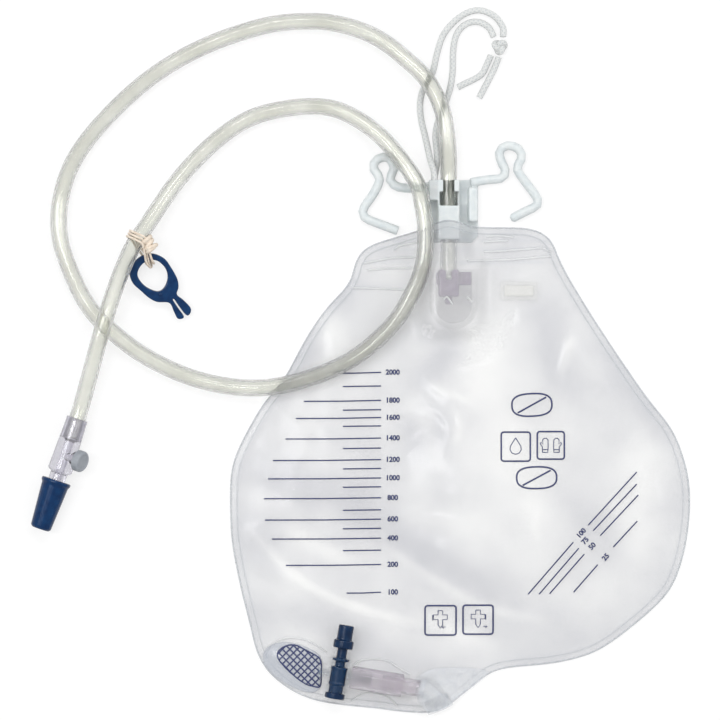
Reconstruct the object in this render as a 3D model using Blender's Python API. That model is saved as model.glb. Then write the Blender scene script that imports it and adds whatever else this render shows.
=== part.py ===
"""Urine drainage bag, lying on its back on the floor.

Two welded films make the bag. A moulded hanger with two bed-rail hooks and a string loop holds its top edge.
The inlet tube runs through the hanger to a drip chamber with an anti-reflux flap inside the bag, and ends in
a sampling connector with a push-on cap. The outlet spout folds up over the front and carries a slide tap.

Units are metres. +Z is up, +Y points to the hanger, and the origin is on the floor under the bag's middle.
"""
import math

import bmesh
import bpy
from mathutils import Matrix, Quaternion, Vector
from mathutils.geometry import delaunay_2d_cdt

MM = 0.001

# Clearance between neighbouring solids.
GAP = 0.3 * MM

# Bag films.
FILM_T = 0.5 * MM
WELD_W = 4.2 * MM
EDGE_STEP = 9.0 * MM
COARSE_STEP = 15.0 * MM
FINE_STEP = 4.0 * MM
COVER_MARGIN = 2.0 * MM
COVER_SKIRT = 8.0 * MM
ROOT_SKIRT = 4.5 * MM
BELLY_H = 6.5 * MM
SHOULDER_H = 2.6 * MM
FLANK_H = 1.8 * MM
WAVE_H = 0.7 * MM
WELD_SLOPE = 16.0 * MM
FOLD_W = 5.0 * MM
FOLD_STEP = 9.0 * MM

# Inlet tube.
TUBE_D = 10.0 * MM
TUBE_STEP = 16.0 * MM
TUBE_X = -6.9 * MM

# Hanger.
PLATE_T = 2.0 * MM
PLATE_X0 = -19.6 * MM
PLATE_X1 = 10.8 * MM
PLATE_Y0 = 110.1 * MM
HANGER_TOP = 147.9 * MM
BORE_WALL = 1.2 * MM
HOUSING_Y0 = 112.0 * MM
WINDOW_W = 13.2 * MM
WINDOW_Y0 = 132.3 * MM
WINDOW_Y1 = 140.7 * MM
SLOT_W = 6.6 * MM
RIB_W = 6.0 * MM
RIB_H = 8.2 * MM
RIB_Y0 = 122.6 * MM
RIB_Y1 = 143.5 * MM
HOOK_D = 5.8 * MM
HOOK_Z = 3.2 * MM
HOOK_SIDES = 10
HOOK_STEP = 3.6 * MM
EYE_WALL = 1.1 * MM
EYE_DEPTH = 10.4 * MM
EYE_PIN_D = 1.8 * MM

# Tie string.
STRING_D = 4.0 * MM
STRING_STEP = 6.0 * MM
KNOT_SIZE = (5.6 * MM, 5.6 * MM, 3.6 * MM)
KNOT_AT = (23.7 * MM, 227.7 * MM)

# Drip chamber, its fitting and the flap.
CHAMBER_X = -3.9 * MM
CHAMBER_W = 23.4 * MM
CHAMBER_Y0 = 60.9 * MM
CHAMBER_Y1 = 94.2 * MM
CHAMBER_T = 0.8 * MM
CHAMBER_ROUND = 3.2 * MM
FLANGE_W = 2.8 * MM
FLANGE_T = 0.8 * MM
FLAP_T = 0.4 * MM
FITTING_W = 12.4 * MM
FITTING_Y0 = 77.7 * MM
SOCKET_DEPTH = 7.0 * MM
WING_T = 1.8 * MM
WING_L = 8.0 * MM
WING_DROP = 1.5 * MM
DRIP_D = 4.4 * MM
DRIP_BORE = 2.4 * MM
DRIP_L = 4.6 * MM

# Vent.
VENT_AT = (35.2 * MM, 81.4 * MM)
VENT_SIZE = (22.0 * MM, 11.2 * MM)
VENT_T = 1.5 * MM
VENT_RIM = 2.2 * MM
VENT_PAD_H = 2.2 * MM
MEMBRANE_T = 0.5 * MM

# Sampling connector and cap.
CONNECTOR_AT = (-229.2 * MM, 4.8 * MM)
CONNECTOR_Z = 9.3 * MM
CONNECTOR_TURN = math.radians(-108.6)
CONNECTOR_L = 33.7 * MM
CONNECTOR_TOP_D = 12.8 * MM
CONNECTOR_END_D = 15.0 * MM
TUBE_SOCKET = 13.0 * MM
NOZZLE_D = 10.4 * MM
NOZZLE_TIP_D = 7.0 * MM
NOZZLE_L = 33.0 * MM
NOZZLE_BARE = 5.2 * MM
CHANNEL_D = 4.6 * MM
BOSS_AT = 23.5 * MM
BOSS_TILT = math.radians(60)
BOSS_D = 9.0 * MM
BOSS_L = 11.5 * MM
SEPTUM_D = 12.9 * MM
SEPTUM_L = 8.0 * MM
SEPTUM_CUT = 3.4 * MM
SEPTUM_FACE_T = 2.0 * MM
CAP_FLANGE_D = 18.0 * MM
CAP_FLANGE_T = 1.8 * MM
CAP_D = 16.4 * MM
CAP_END_D = 12.6 * MM
CAP_L = 30.8 * MM

# Sheet clip and rubber band.
CLIP_T = 5.0 * MM
CLIP_TILT = math.radians(6.3)
CLIP_PIVOT = (-165.5 * MM, 66.5 * MM)
CLIP_BEVEL = 0.8 * MM
BAND_D = 1.6 * MM
BAND_TURNS = 3
BAND_STEPS = 8
BAND_STEP = 3.2 * MM
BAND_SLACK = 0.3 * MM
BAND_BULGE = 1.2 * MM
BAND_SPREAD = 2.1 * MM
BAND_AT = (-191.5 * MM, 111.5 * MM)
CLIP_BAR = (-188.0 * MM, 101.9 * MM)
BAR_TURN = math.radians(28)
BAR_R = 3.2 * MM

# Slide tap and outlet.
TAP_AT = (-73.0 * MM, -148.6 * MM)
TAP_TURN = math.radians(-99.6)
TAP_BODY_D = 13.4 * MM
TAP_BODY_L = 21.6 * MM
TAP_BORE_D = 10.6 * MM
TAP_LAND_D = 9.6 * MM
TAP_WAIST_D = 6.0 * MM
TAP_STROKE = 5.0 * MM
TAP_COLLAR_D = 12.0 * MM
TAP_COLLAR_L = 5.2 * MM
TAP_BUTTON_D = 9.2 * MM
TAP_BUTTON_L = 8.8 * MM
TAP_FLANGE_D = 12.0 * MM
TAP_FLANGE_L = 3.4 * MM
TAP_RIB_D = 10.0 * MM
BARB_D = 10.0 * MM
BARB_L = 20.0 * MM
PORT_BORE = 5.2 * MM
SPIGOT_D = 5.6 * MM
SPIGOT_BORE = 3.4 * MM
SPIGOT_L = 12.5 * MM
SLEEVE_WALL = 1.6 * MM
SLEEVE_L = 31.5 * MM
DRAIN_D = BARB_D
DRAIN_WALL = 1.7 * MM
DRAIN_IN = 12.5 * MM
DRAIN_OUT = 13.0 * MM
SPOUT_MOUTH_D = 13.0 * MM
SPOUT_GRIP = 3.0 * MM
SPOUT_FLAT_W = 17.0 * MM
SPOUT_FLAT_T = 1.8 * MM
FOLD_AT = (-12.3 * MM, -168.0 * MM)
FOLD_TURN = math.radians(23)
ROOT_L = 6.5 * MM
ROOT_MARGIN = 1.2 * MM

# Outlet pocket on the front film.
POCKET_T = 0.4 * MM
POCKET_H = 2.2 * MM
POCKET_WELD = 3.0 * MM
POCKET_STEP = 5.0 * MM
POCKET_SLOPE = 9.0 * MM
MOUTH_DEPTH = 12.0 * MM
MOUTH_Y = -147.0 * MM
MOUTH_W = 22.0 * MM

# Heights that follow from the sizes above.
FRONT_Z = FILM_T + GAP
FRONT_TOP = FRONT_Z + FILM_T
PLATE_Z = FILM_T + GAP
TUBE_BORE_R = TUBE_D / 2 + GAP
TUBE_Z = PLATE_Z + BORE_WALL + TUBE_BORE_R
HOUSING_TOP = TUBE_Z + TUBE_BORE_R + BORE_WALL
HOUSING_HALF = TUBE_BORE_R + BORE_WALL
FLANGE_Z = FILM_T + 2 * GAP + FLAP_T + GAP
CHAMBER_TOP = HOUSING_TOP - GAP
SLEEVE_D = BARB_D + 2 * GAP + 2 * SLEEVE_WALL
TAP_Z = FRONT_TOP + GAP + SLEEVE_D / 2

ROUND = 20

# The bag's cut, clockwise from the left of the hanger, in millimetres.
BAG_CUT = [
    (-26, 117.4), (-42, 112.6), (-51, 110.1), (-58.8, 105.9), (-63, 100.5), (-64.2, 91), (-67.2, 84.3),
    (-79.2, 72.3), (-92.4, 53.1), (-105.6, 28.5), (-117, 15.3), (-129.6, -6.3), (-137, -24.3), (-138, -45),
    (-137.2, -67), (-134.4, -83.7), (-130.2, -102.9), (-125.4, -121.5), (-122.7, -134.1), (-118.8, -141.9),
    (-113.1, -149.7), (-99.6, -159.3), (-82.8, -165.4), (-52.2, -168.9), (-26, -170.6), (-18.5, -169.0),
    (-10.5, -165.4), (-3.5, -161.7), (7.8, -154.5), (21.6, -146.7), (31.8, -144.3), (47.7, -143.1),
    (63.6, -140.7), (82.5, -134.7), (102.6, -120.6), (122.4, -102.9), (129.3, -91.8), (133.2, -80.7),
    (136.4, -65.7), (137.9, -50.7), (137.8, -36.3), (135, -21.3), (127.2, -1.5), (112.2, 17.4), (92.4, 46.2),
    (77.4, 69.3), (65.4, 89.1), (58.8, 101.7), (55.8, 111.3), (51.6, 115.5), (46.8, 117.9), (39, 119.3),
    (18, 119.6), (11, 119.6), (4.5, 120), (1, 122), (-3, 123.9), (-11, 123.9), (-15, 122), (-19, 119.4),
]

# Folds that the front film keeps from its wrapper: height, then the ridge's line, in millimetres.
FOLDS = [
    (1.7, [(-130, -60), (-116, -86), (-82, -99), (-46, -101), (-18, -98)]),
    (1.5, [(-26, -64), (-4, -78), (20, -88), (46, -88)]),
    (1.4, [(-12, 26), (-7, 4), (-12, -20)]),
    (1.3, [(62, 84), (66, 54), (80, 22)]),
    (1.3, [(112, -22), (117, -56), (102, -88)]),
    (1.2, [(34, -8), (26, -32), (32, -58)]),
]

# Hook centre lines, in millimetres, from the hanger's corner to the free end.
RIGHT_HOOK = [
    (6.5, 146.3), (16, 147.9), (24.0, 148.6), (26.6, 150.6), (27.2, 153.6), (24.4, 159.6), (23.6, 165.0),
    (26.8, 168.0), (31.0, 168.3), (35.6, 165.8), (36.9, 161.0), (34.2, 154.6), (38.4, 147.6), (43.6, 140.8),
    (46.9, 135.4), (46.6, 133.4), (44.6, 131.6), (38, 128.4), (30.8, 124.6),
]
LEFT_HOOK = [
    (-18.3, 143.8), (-28, 142.9), (-35.8, 143.3), (-40.0, 145.2), (-42.0, 148.9), (-39.6, 154.6),
    (-41.8, 160.2), (-45.4, 161.6), (-50.8, 159.4), (-51.8, 154.6), (-48.2, 148.5), (-51.4, 140.4),
    (-57.0, 132.4), (-58.4, 128.6), (-57.4, 125.6), (-54.0, 123.6), (-46, 120.6), (-37.2, 117.3),
]

# Cord routes, in millimetres: x, y and the height of the centre line.
TUBE_ROUTE = [
    (-6.9, 88.4, 7.3), (-6.9, 104, 7.3), (-6.9, 120, 7.3), (-6.9, 136, 7.3), (-6.9, 151.5, 7.3),
    (-7.0, 159.5, 8.4), (-7.4, 168, 9.4), (-8.4, 177, 9.8), (-10.4, 188.1, 9.8), (-15.3, 200.1, 9.8),
    (-22.2, 210.3, 9.6), (-32.4, 219.9, 8.0), (-43, 228.6, 6.2), (-56, 236, 5.2), (-72, 241, 5.1),
    (-90, 242.9, 5.1), (-116.5, 240.3, 5.1), (-152.4, 228.3, 5.1), (-184.5, 209.9, 5.1),
    (-212, 185.1, 5.1), (-230.4, 161.3, 5.1), (-239, 138, 5.1), (-240, 114, 5.1), (-232, 89.5, 5.1),
    (-221.2, 69.9, 5.1), (-206.5, 55.1, 5.1), (-189.1, 42.3, 5.1), (-166.2, 31.2, 5.1),
    (-143.2, 24.9, 5.9), (-120.2, 23.2, 7.0), (-99, 26.6, 7.6), (-75.6, 34.8, 8.4), (-57.3, 45.6, 9.6),
    (-39.8, 62.1, 12.0), (-28.4, 80.3, 15.0), (-22.2, 97.3, 17.4), (-20.8, 116.8, 18.0), (-23.0, 134, 17.8),
    (-25.4, 144, 16.2), (-30.8, 153.4, 14.0), (-38.6, 163.6, 12.4), (-48.4, 174.4, 10.2),
    (-61.4, 184.0, 7.0), (-75.6, 190.4, 5.4), (-92.4, 191.9, 5.1), (-114.4, 188.6, 5.1),
    (-129.4, 183.0, 5.1), (-144.1, 173.2, 5.2), (-158.8, 159.4, 6.2), (-170.7, 145.4, 8.6),
    (-180.2, 131.6, 11.2), (-188.2, 119.4, 13.2), (-195.4, 108.6, 14.4), (-202.4, 93, 15.4),
    (-208, 77.6, 15.8), (-212.8, 62.4, 15.8), (-217.2, 47, 14.6), (-221.6, 31, 12.0), (-226.2, 14.4, 9.7),
    (-229.4, 4.2, 9.3), (-231.6, -2.35, 9.3), (-233.1, -6.8, 9.3),
]
STRING_A_ROUTE = [
    (-15.4, 142.4, 11.05), (-15.4, 148.5, 11.05), (-15.8, 153, 9.6), (-17.7, 159.2, 5.4), (-19.2, 166, 2.9),
    (-20.9, 173.8, 2.2), (-23.2, 183.5, 2.1), (-24.0, 192.9, 2.1), (-22.6, 200.9, 2.1), (-19.4, 207, 2.1),
    (-16.2, 213, 2.1), (-13.8, 223.7, 2.1), (-10.2, 234.5, 2.1), (-3.8, 242.6, 2.1), (3.7, 247.9, 2.1),
    (12, 249.6, 2.1), (20.6, 246, 2.1), (25.6, 239.4, 2.3), (25.9, 233.7, 3.0),
]
STRING_B_ROUTE = [
    (-15.4, 142.4, 4.15), (-15.4, 148.5, 4.1), (-14.6, 153.5, 3.0), (-13.6, 159.5, 2.2), (-14.1, 167.1, 2.1),
    (-14.7, 174.9, 2.1), (-12.9, 183.9, 2.1), (-8.9, 193.5, 2.1), (-5.9, 203.1, 2.1), (-4.5, 212.7, 2.1),
    (-4.2, 223.7, 2.1), (-2.9, 232.9, 2.1), (0.6, 239.0, 2.1), (6, 242.3, 2.1), (12, 242.3, 2.1),
    (17.2, 239.2, 2.4), (20.2, 233.7, 3.0),
]
TAIL_A_ROUTE = [(23.2, 221.5, 2.9), (20.6, 214.8, 2.2), (16.2, 206.1, 2.1), (11.4, 197.1, 2.1)]
TAIL_B_ROUTE = [
    (18.5, 222.6, 2.9), (15.8, 216.6, 2.2), (13.2, 211.6, 2.1), (8.4, 208.3, 2.1), (2.0, 205.2, 2.1),
    (-1.4, 203.4, 2.1),
]

# The sheet clip's outline and hole, in millimetres.
CLIP_OUTLINE = [
    (-184.8, 104.2), (-177.6, 101.2), (-173.2, 95.4), (-169.8, 89.1), (-169.3, 84.0), (-170.9, 79.3),
    (-167.0, 75.9), (-163.2, 71.6), (-162.6, 69.0), (-165.2, 67.0), (-168.4, 70.9), (-172.4, 76.6),
    (-173.2, 75.9), (-169.4, 70.1), (-166.6, 65.6), (-169.8, 64.9), (-172.6, 69.6), (-175.4, 74.3),
    (-181.8, 75.1), (-186.8, 77.6), (-191.6, 81.8), (-196.4, 86.4), (-198.4, 92.2), (-196.8, 97.6),
    (-191.8, 102.4),
]
CLIP_HOLE = [
    (-187.0, 100.2), (-191.8, 96.6), (-193.6, 91.4), (-190.8, 86.3), (-186.2, 82.9), (-180.9, 81.5),
    (-177.4, 84.2), (-175.6, 89.7), (-176.9, 95.2), (-181.4, 99.6),
]

# The outlet pocket's outline, in millimetres.
POCKET_OUTLINE = [
    (-83.6, -137.6), (-88.4, -134.2), (-97, -130.4), (-107, -129.2), (-115.6, -132.2), (-118.6, -139.6),
    (-112.6, -148.6), (-104, -154.6), (-95, -158.8), (-86.6, -159.6), (-83.8, -155.2),
]


def millimetres(points):
    """Turn a list of points in millimetres into vectors in metres."""
    return [Vector(p) * MM for p in points]


def clear_scene():
    for item in list(bpy.data.objects):
        bpy.data.objects.remove(item, do_unlink=True)


def material(name, colour, roughness, alpha=1.0):
    made = bpy.data.materials.new(name)
    made.use_nodes = True
    shader = made.node_tree.nodes["Principled BSDF"]
    shader.inputs["Base Color"].default_value = (*colour, 1.0)
    shader.inputs["Roughness"].default_value = roughness
    shader.inputs["Metallic"].default_value = 0.0
    shader.inputs["Alpha"].default_value = alpha
    made.diffuse_color = (*colour, alpha)
    return made


def place(data, name, finish, parent=None):
    """Make an object of a mesh or curve and give it its material and its parent frame."""
    data.materials.append(finish)
    made = bpy.data.objects.new(name, data)
    bpy.context.collection.objects.link(made)
    made.parent = parent
    return made


def mesh_object(bm, name, finish, parent=None, smooth=True):
    bmesh.ops.remove_doubles(bm, verts=bm.verts, dist=1e-7)
    bmesh.ops.dissolve_degenerate(bm, edges=bm.edges, dist=1e-7)
    bmesh.ops.recalc_face_normals(bm, faces=bm.faces)
    data = bpy.data.meshes.new(name)
    bm.to_mesh(data)
    bm.free()
    if smooth:
        data.shade_smooth()
        data.set_sharp_from_angle(angle=math.radians(35))
    return place(data, name, finish, parent)


def frame(name, at, turn):
    """An empty on an axis that lies level, with its own Z along the axis."""
    made = bpy.data.objects.new(name, None)
    bpy.context.collection.objects.link(made)
    made.location = at
    level = Matrix.Rotation(turn, 3, "Z") @ Matrix.Rotation(math.pi / 2, 3, "Y")
    made.rotation_mode = "QUATERNION"
    made.rotation_quaternion = level.to_quaternion()
    return made


def smooth_route(points, step, closed=False):
    """Points about a step apart on a smooth curve through the given points."""
    count = len(points)
    spans = count if closed else count - 1
    fine = []
    for i in range(spans):
        if closed:
            a, b, c, d = (points[(i + k) % count] for k in (-1, 0, 1, 2))
        else:
            b, c = points[i], points[i + 1]
            a = points[i - 1] if i else b * 2 - c
            d = points[i + 2] if i + 2 < count else c * 2 - b
        for k in range(12):
            t = k / 12
            fine.append(0.5 * (2 * b + (c - a) * t + (2 * a - 5 * b + 4 * c - d) * t * t
                               + (3 * b - a - 3 * c + d) * t ** 3))
    fine.append(points[0].copy() if closed else points[-1].copy())
    lengths = [0.0]
    for a, b in zip(fine, fine[1:]):
        lengths.append(lengths[-1] + (b - a).length)
    pieces = max(2, round(lengths[-1] / step))
    found, k = [], 0
    for i in range(pieces if closed else pieces + 1):
        want = lengths[-1] * i / pieces
        while k < len(fine) - 2 and lengths[k + 1] < want:
            k += 1
        share = (want - lengths[k]) / max(lengths[k + 1] - lengths[k], 1e-12)
        found.append(fine[k].lerp(fine[k + 1], min(share, 1.0)))
    return found


def prism(bm, outline, low, high, holes=()):
    """A flat plate with straight walls between two heights, from an outline and its holes."""
    edges = []
    for loop in (outline, *holes):
        verts = [bm.verts.new((p.x, p.y, low)) for p in loop]
        edges += [bm.edges.new((verts[i - 1], verts[i])) for i in range(len(verts))]
    made = bmesh.ops.triangle_fill(bm, use_beauty=True, use_dissolve=False, edges=edges)
    faces = [f for f in made["geom"] if isinstance(f, bmesh.types.BMFace)]
    raised = bmesh.ops.extrude_face_region(bm, geom=faces)
    tops = [v for v in raised["geom"] if isinstance(v, bmesh.types.BMVert)]
    bmesh.ops.translate(bm, verts=tops, vec=(0, 0, high - low))


def block(bm, x0, x1, y0, y1, z0, z1, bevel=0.0, segments=2):
    """A box, with all its edges rounded where a bevel is given."""
    part = bmesh.new()
    bmesh.ops.create_cube(part, size=1.0)
    bmesh.ops.scale(part, verts=part.verts, vec=(x1 - x0, y1 - y0, z1 - z0))
    bmesh.ops.translate(part, verts=part.verts, vec=((x0 + x1) / 2, (y0 + y1) / 2, (z0 + z1) / 2))
    if bevel:
        bmesh.ops.bevel(part, geom=part.edges[:], offset=bevel, segments=segments, profile=0.5,
                        affect="EDGES", material=-1)
    held = bpy.data.meshes.new("held")
    part.to_mesh(held)
    part.free()
    bm.from_mesh(held)
    bpy.data.meshes.remove(held)


def turned(bm, profile, sides=ROUND):
    """Spin a closed profile of (radius, height) points about the Z axis."""
    verts = [bm.verts.new((r, 0, z)) for r, z in profile]
    edges = [bm.edges.new((verts[i - 1], verts[i])) for i in range(len(verts))
             if profile[i - 1][0] or profile[i][0]]
    bmesh.ops.spin(bm, geom=verts + edges, cent=(0, 0, 0), axis=(0, 0, 1), dvec=(0, 0, 0),
                   angle=2 * math.pi, steps=sides, use_merge=True)


def cylinder(bm, radius, low, high, sides=ROUND, turn=None):
    made = bmesh.ops.create_cone(bm, cap_ends=True, segments=sides, radius1=radius, radius2=radius,
                                 depth=high - low)
    bmesh.ops.translate(bm, verts=made["verts"], vec=(0, 0, (low + high) / 2))
    if turn is not None:
        bmesh.ops.transform(bm, matrix=turn, verts=made["verts"])


def sweep(bm, path, radius, sides, round_end=False):
    """A round rod of one radius along a level path."""
    rings = []
    count = len(path)
    stations = [(p, 1.0) for p in path]
    if round_end:
        tip = (path[-1] - path[-2]).normalized()
        stations[-1] = (path[-1] - tip * radius * 0.45, 1.0)
        stations += [(path[-1] - tip * radius * 0.1, 0.85), (path[-1] + tip * radius * 0.2, 0.45)]
    for i, (point, share) in enumerate(stations):
        ahead = path[min(i + 1, count - 1)] if i < count else path[-1]
        behind = path[i - 1] if 0 < i < count else (path[0] if i == 0 else path[-2])
        along = (ahead - behind).normalized()
        side = Vector((-along.y, along.x, 0)).normalized()
        up = side.cross(along) * -1
        ring = []
        for k in range(sides):
            angle = 2 * math.pi * (k + 0.5) / sides
            offset = side * math.cos(angle) + up * math.sin(angle)
            ring.append(bm.verts.new(point + offset * radius * share))
        rings.append(ring)
    for a, b in zip(rings, rings[1:]):
        for k in range(sides):
            bm.faces.new((a[k - 1], a[k], b[k], b[k - 1]))
    bm.faces.new(rings[0])
    bm.faces.new(rings[-1])


def loft(bm, rings, close_path=False, caps=True):
    """Skin over rings of points that all hold the same number of points."""
    made = [[bm.verts.new(p) for p in ring] for ring in rings]
    pairs = list(zip(made, made[1:])) + ([(made[-1], made[0])] if close_path else [])
    for a, b in pairs:
        for k in range(len(a)):
            bm.faces.new((a[k - 1], a[k], b[k], b[k - 1]))
    if caps and not close_path:
        bm.faces.new(made[0])
        bm.faces.new(made[-1])


def cutter(bm, name, parent=None):
    """A hidden solid that a Boolean reads."""
    bmesh.ops.recalc_face_normals(bm, faces=bm.faces)
    data = bpy.data.meshes.new(name)
    bm.to_mesh(data)
    bm.free()
    made = bpy.data.objects.new(name, data)
    bpy.context.collection.objects.link(made)
    made.parent = parent
    made.hide_render = True
    made.display_type = "WIRE"
    return made


def boolean(target, tool, operation):
    step = target.modifiers.new(tool.name, "BOOLEAN")
    step.operation = operation
    step.solver = "EXACT"
    step.object = tool


def cord(name, route, step, diameter, finish, resolution):
    """A plain round cord along its route, as a bevelled curve with filled ends."""
    points = smooth_route(millimetres(route), step)
    data = bpy.data.curves.new(name, "CURVE")
    data.dimensions = "3D"
    data.bevel_depth = diameter / 2
    data.bevel_resolution = resolution
    data.use_fill_caps = True
    spline = data.splines.new("POLY")
    spline.points.add(len(points) - 1)
    for point, at in zip(spline.points, points):
        point.co = (*at, 1.0)
    return place(data, name, finish)


def ease(value):
    """A smooth step from 0 to 1."""
    value = min(max(value, 0.0), 1.0)
    return value * value * (3 - 2 * value)


def edge_distance(x, y, outline):
    """How far a place is inside an outline, negative outside."""
    best, inside = 1e9, False
    for i in range(len(outline)):
        a, b = outline[i - 1], outline[i]
        dx, dy = b.x - a.x, b.y - a.y
        share = ((x - a.x) * dx + (y - a.y) * dy) / max(dx * dx + dy * dy, 1e-18)
        share = min(max(share, 0.0), 1.0)
        best = min(best, math.hypot(x - a.x - dx * share, y - a.y - dy * share))
        if (a.y > y) != (b.y > y) and x < a.x + (y - a.y) * dx / dy:
            inside = not inside
    return best if inside else -best


def inset_loop(outline, amount):
    """The outline moved inwards by an amount."""
    moved = []
    for i in range(len(outline)):
        along = (outline[(i + 1) % len(outline)] - outline[i - 1]).normalized()
        for side in (Vector((-along.y, along.x)), Vector((along.y, -along.x))):
            at = outline[i] + side * amount
            if edge_distance(at.x, at.y, outline) > amount * 0.8:
                moved.append(at)
                break
    return moved


def sheet(name, outline, weld, spacing, lower, thickness, finish, ridges=()):
    """A thin film whose lower face follows a height function, as one closed shell."""
    loop = [Vector((p.x, p.y)) for p in outline]
    points = loop + inset_loop(loop, weld) + list(ridges)
    spots = [(p.x, p.y) for p in loop]
    xs, ys = [p[0] for p in spots], [p[1] for p in spots]
    for step, wanted in spacing:
        rows = int((max(ys) - min(ys)) / (step * 0.866)) + 1
        for row in range(rows):
            y = min(ys) + row * step * 0.866
            x = min(xs) + (step / 2 if row % 2 else 0.0)
            while x < max(xs):
                clear = all(math.hypot(p.x - x, p.y - y) > step * 0.45 for p in ridges)
                if clear and wanted(x, y) and edge_distance(x, y, loop) > weld + step * 0.55:
                    points.append(Vector((x, y)))
                x += step
    flat, _, faces, *_ = delaunay_2d_cdt(points, [], [list(range(len(loop)))], 1, 1e-7)
    bm = bmesh.new()
    low, high = [], []
    for p in flat:
        z = lower(p.x, p.y, edge_distance(p.x, p.y, loop))
        low.append(bm.verts.new((p.x, p.y, z)))
        high.append(bm.verts.new((p.x, p.y, z + thickness)))
    for face in faces:
        bm.faces.new([high[i] for i in face])
        bm.faces.new([low[i] for i in reversed(face)])
    for edge in [e for e in bm.edges if len(e.link_faces) == 1]:
        if edge.verts[0] in set(high) and edge.verts[1] in set(high):
            a, b = (high.index(v) for v in edge.verts)
            bm.faces.new((high[a], high[b], low[b], low[a]))
    return mesh_object(bm, name, finish)


def cover(x, y, x0, x1, y0, y1, height, skirt=COVER_SKIRT):
    """The height of a film that is tented over a box, with a smooth skirt all round."""
    out = math.hypot(max(x0 - x, x - x1, 0.0), max(y0 - y, y - y1, 0.0))
    return height * (1 - ease(out / skirt))


def hump(x, y, cx, cy, wx, wy):
    return math.exp(-((x / MM - cx) / wx) ** 2 - ((y / MM - cy) / wy) ** 2)


def fold_lines():
    """Each fold's height and its line, as points about a step apart."""
    return [(height * MM, smooth_route([Vector((x * MM, y * MM)) for x, y in line], FOLD_STEP))
            for height, line in FOLDS]


def fold_lift(x, y, folds):
    """What the folds add to the front film's height: ridges that run out at both ends."""
    lift = 0.0
    for height, line in folds:
        best, share = 1e9, 0.0
        for i in range(len(line) - 1):
            run = line[i + 1] - line[i]
            part = min(max((Vector((x, y)) - line[i]).dot(run) / run.length_squared, 0.0), 1.0)
            apart = math.hypot(*(Vector((x, y)) - line[i] - run * part))
            if apart < best:
                best, share = apart, (i + part) / (len(line) - 1)
        lift += height * math.exp(-(best / FOLD_W) ** 2) * math.sin(math.pi * share) ** 0.5
    return lift


def fold_points(folds):
    """Film points on each fold's ridge and at its two feet."""
    points = []
    for _, line in folds:
        for i in range(1, len(line) - 1):
            along = (line[i + 1] - line[i - 1]).normalized()
            side = Vector((-along.y, along.x)) * FOLD_W
            points += [line[i], line[i] + side, line[i] - side]
    return points


def front_height(x, y, inside, folds):
    """The height of the front film's lower face: the bag's slack folds, tented over what lies inside."""
    belly = BELLY_H * hump(x, y, 28, -38, 66, 62) + SHOULDER_H * hump(x, y, 44, 48, 38, 34)
    belly += FLANK_H * hump(x, y, -78, -38, 34, 40)
    wave = math.sin(x / MM / 15 + y / MM / 22) * math.sin(y / MM / 17 - x / MM / 31 + 0.6)
    belly += WAVE_H * (1 + wave) * hump(x, y, 12, -20, 110, 90)
    belly += fold_lift(x, y, folds)
    open_share = ease((inside - WELD_W) / WELD_SLOPE)
    calm = ease((y / MM + 118) / 16) if x < 10 * MM else 1.0
    lift = belly * open_share * max(calm, ease((x / MM + 2) / 14))
    m = COVER_MARGIN
    neck = HOUSING_TOP + GAP - FRONT_Z
    lift = max(lift, cover(x, y, TUBE_X - HOUSING_HALF - m, TUBE_X + HOUSING_HALF + m,
                           CHAMBER_Y1 - m, HANGER_TOP, neck))
    lift = max(lift, cover(x, y, CHAMBER_X - CHAMBER_W / 2 - m, CHAMBER_X + CHAMBER_W / 2 + m,
                           CHAMBER_Y0 - m, CHAMBER_Y1 + m, neck))
    flange = FLANGE_Z + FLANGE_T + GAP - FRONT_Z
    lift = max(lift, cover(x, y, CHAMBER_X - CHAMBER_W / 2 - FLANGE_W - m,
                           CHAMBER_X + CHAMBER_W / 2 + FLANGE_W + m, CHAMBER_Y0 - FLANGE_W - m,
                           CHAMBER_Y1 + m, flange))
    plate = PLATE_Z + PLATE_T + GAP - FRONT_Z
    lift = max(lift, cover(x, y, PLATE_X0 - m, PLATE_X1 + m, PLATE_Y0 - m, HANGER_TOP, plate))
    vent = cover(x, y, VENT_AT[0] - VENT_SIZE[0] / 2 - 5 * MM, VENT_AT[0] + VENT_SIZE[0] / 2 + 5 * MM,
                 VENT_AT[1] - VENT_SIZE[1] / 2 - 5 * MM, VENT_AT[1] + VENT_SIZE[1] / 2 + 5 * MM, 1.0)
    near_neck = cover(x, y, CHAMBER_X - CHAMBER_W / 2 - m, CHAMBER_X + CHAMBER_W / 2 + m,
                      CHAMBER_Y0 - m, HANGER_TOP, 1.0)
    if near_neck <= 0.0:
        lift = lift * (1 - vent) + VENT_PAD_H * vent
    lift = max(lift, root_cover(x, y) * (SPOUT_FLAT_T + GAP))
    return FRONT_Z + lift


def root_cover(x, y):
    """The share of the film's lift over the spout's welded root."""
    out_x, out_y = x - FOLD_AT[0], y - FOLD_AT[1]
    across = out_x * math.cos(FOLD_TURN) + out_y * math.sin(FOLD_TURN)
    back = out_y * math.cos(FOLD_TURN) - out_x * math.sin(FOLD_TURN)
    past_side = max(abs(across) - SPOUT_FLAT_W / 2 - ROOT_MARGIN, 0.0)
    past_end = max(back - ROOT_L - ROOT_MARGIN, 0.0)
    return 1 - ease(math.hypot(past_side, past_end) / ROOT_SKIRT)


def bag_outline():
    """The bag's edge, with points three times as close along the hanger and at the outlet."""
    cut = [Vector((x * MM, y * MM, 0)) for x, y in BAG_CUT]
    fine = smooth_route(cut, EDGE_STEP / 3, closed=True)
    return [p for i, p in enumerate(fine) if i % 3 == 0 or in_neck(p.x, p.y) or in_tip(p.x, p.y)]


def in_neck(x, y):
    return -34 * MM < x < 26 * MM and 48 * MM < y


def in_tip(x, y):
    return -34 * MM < x < 10 * MM and y < -146 * MM


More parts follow.
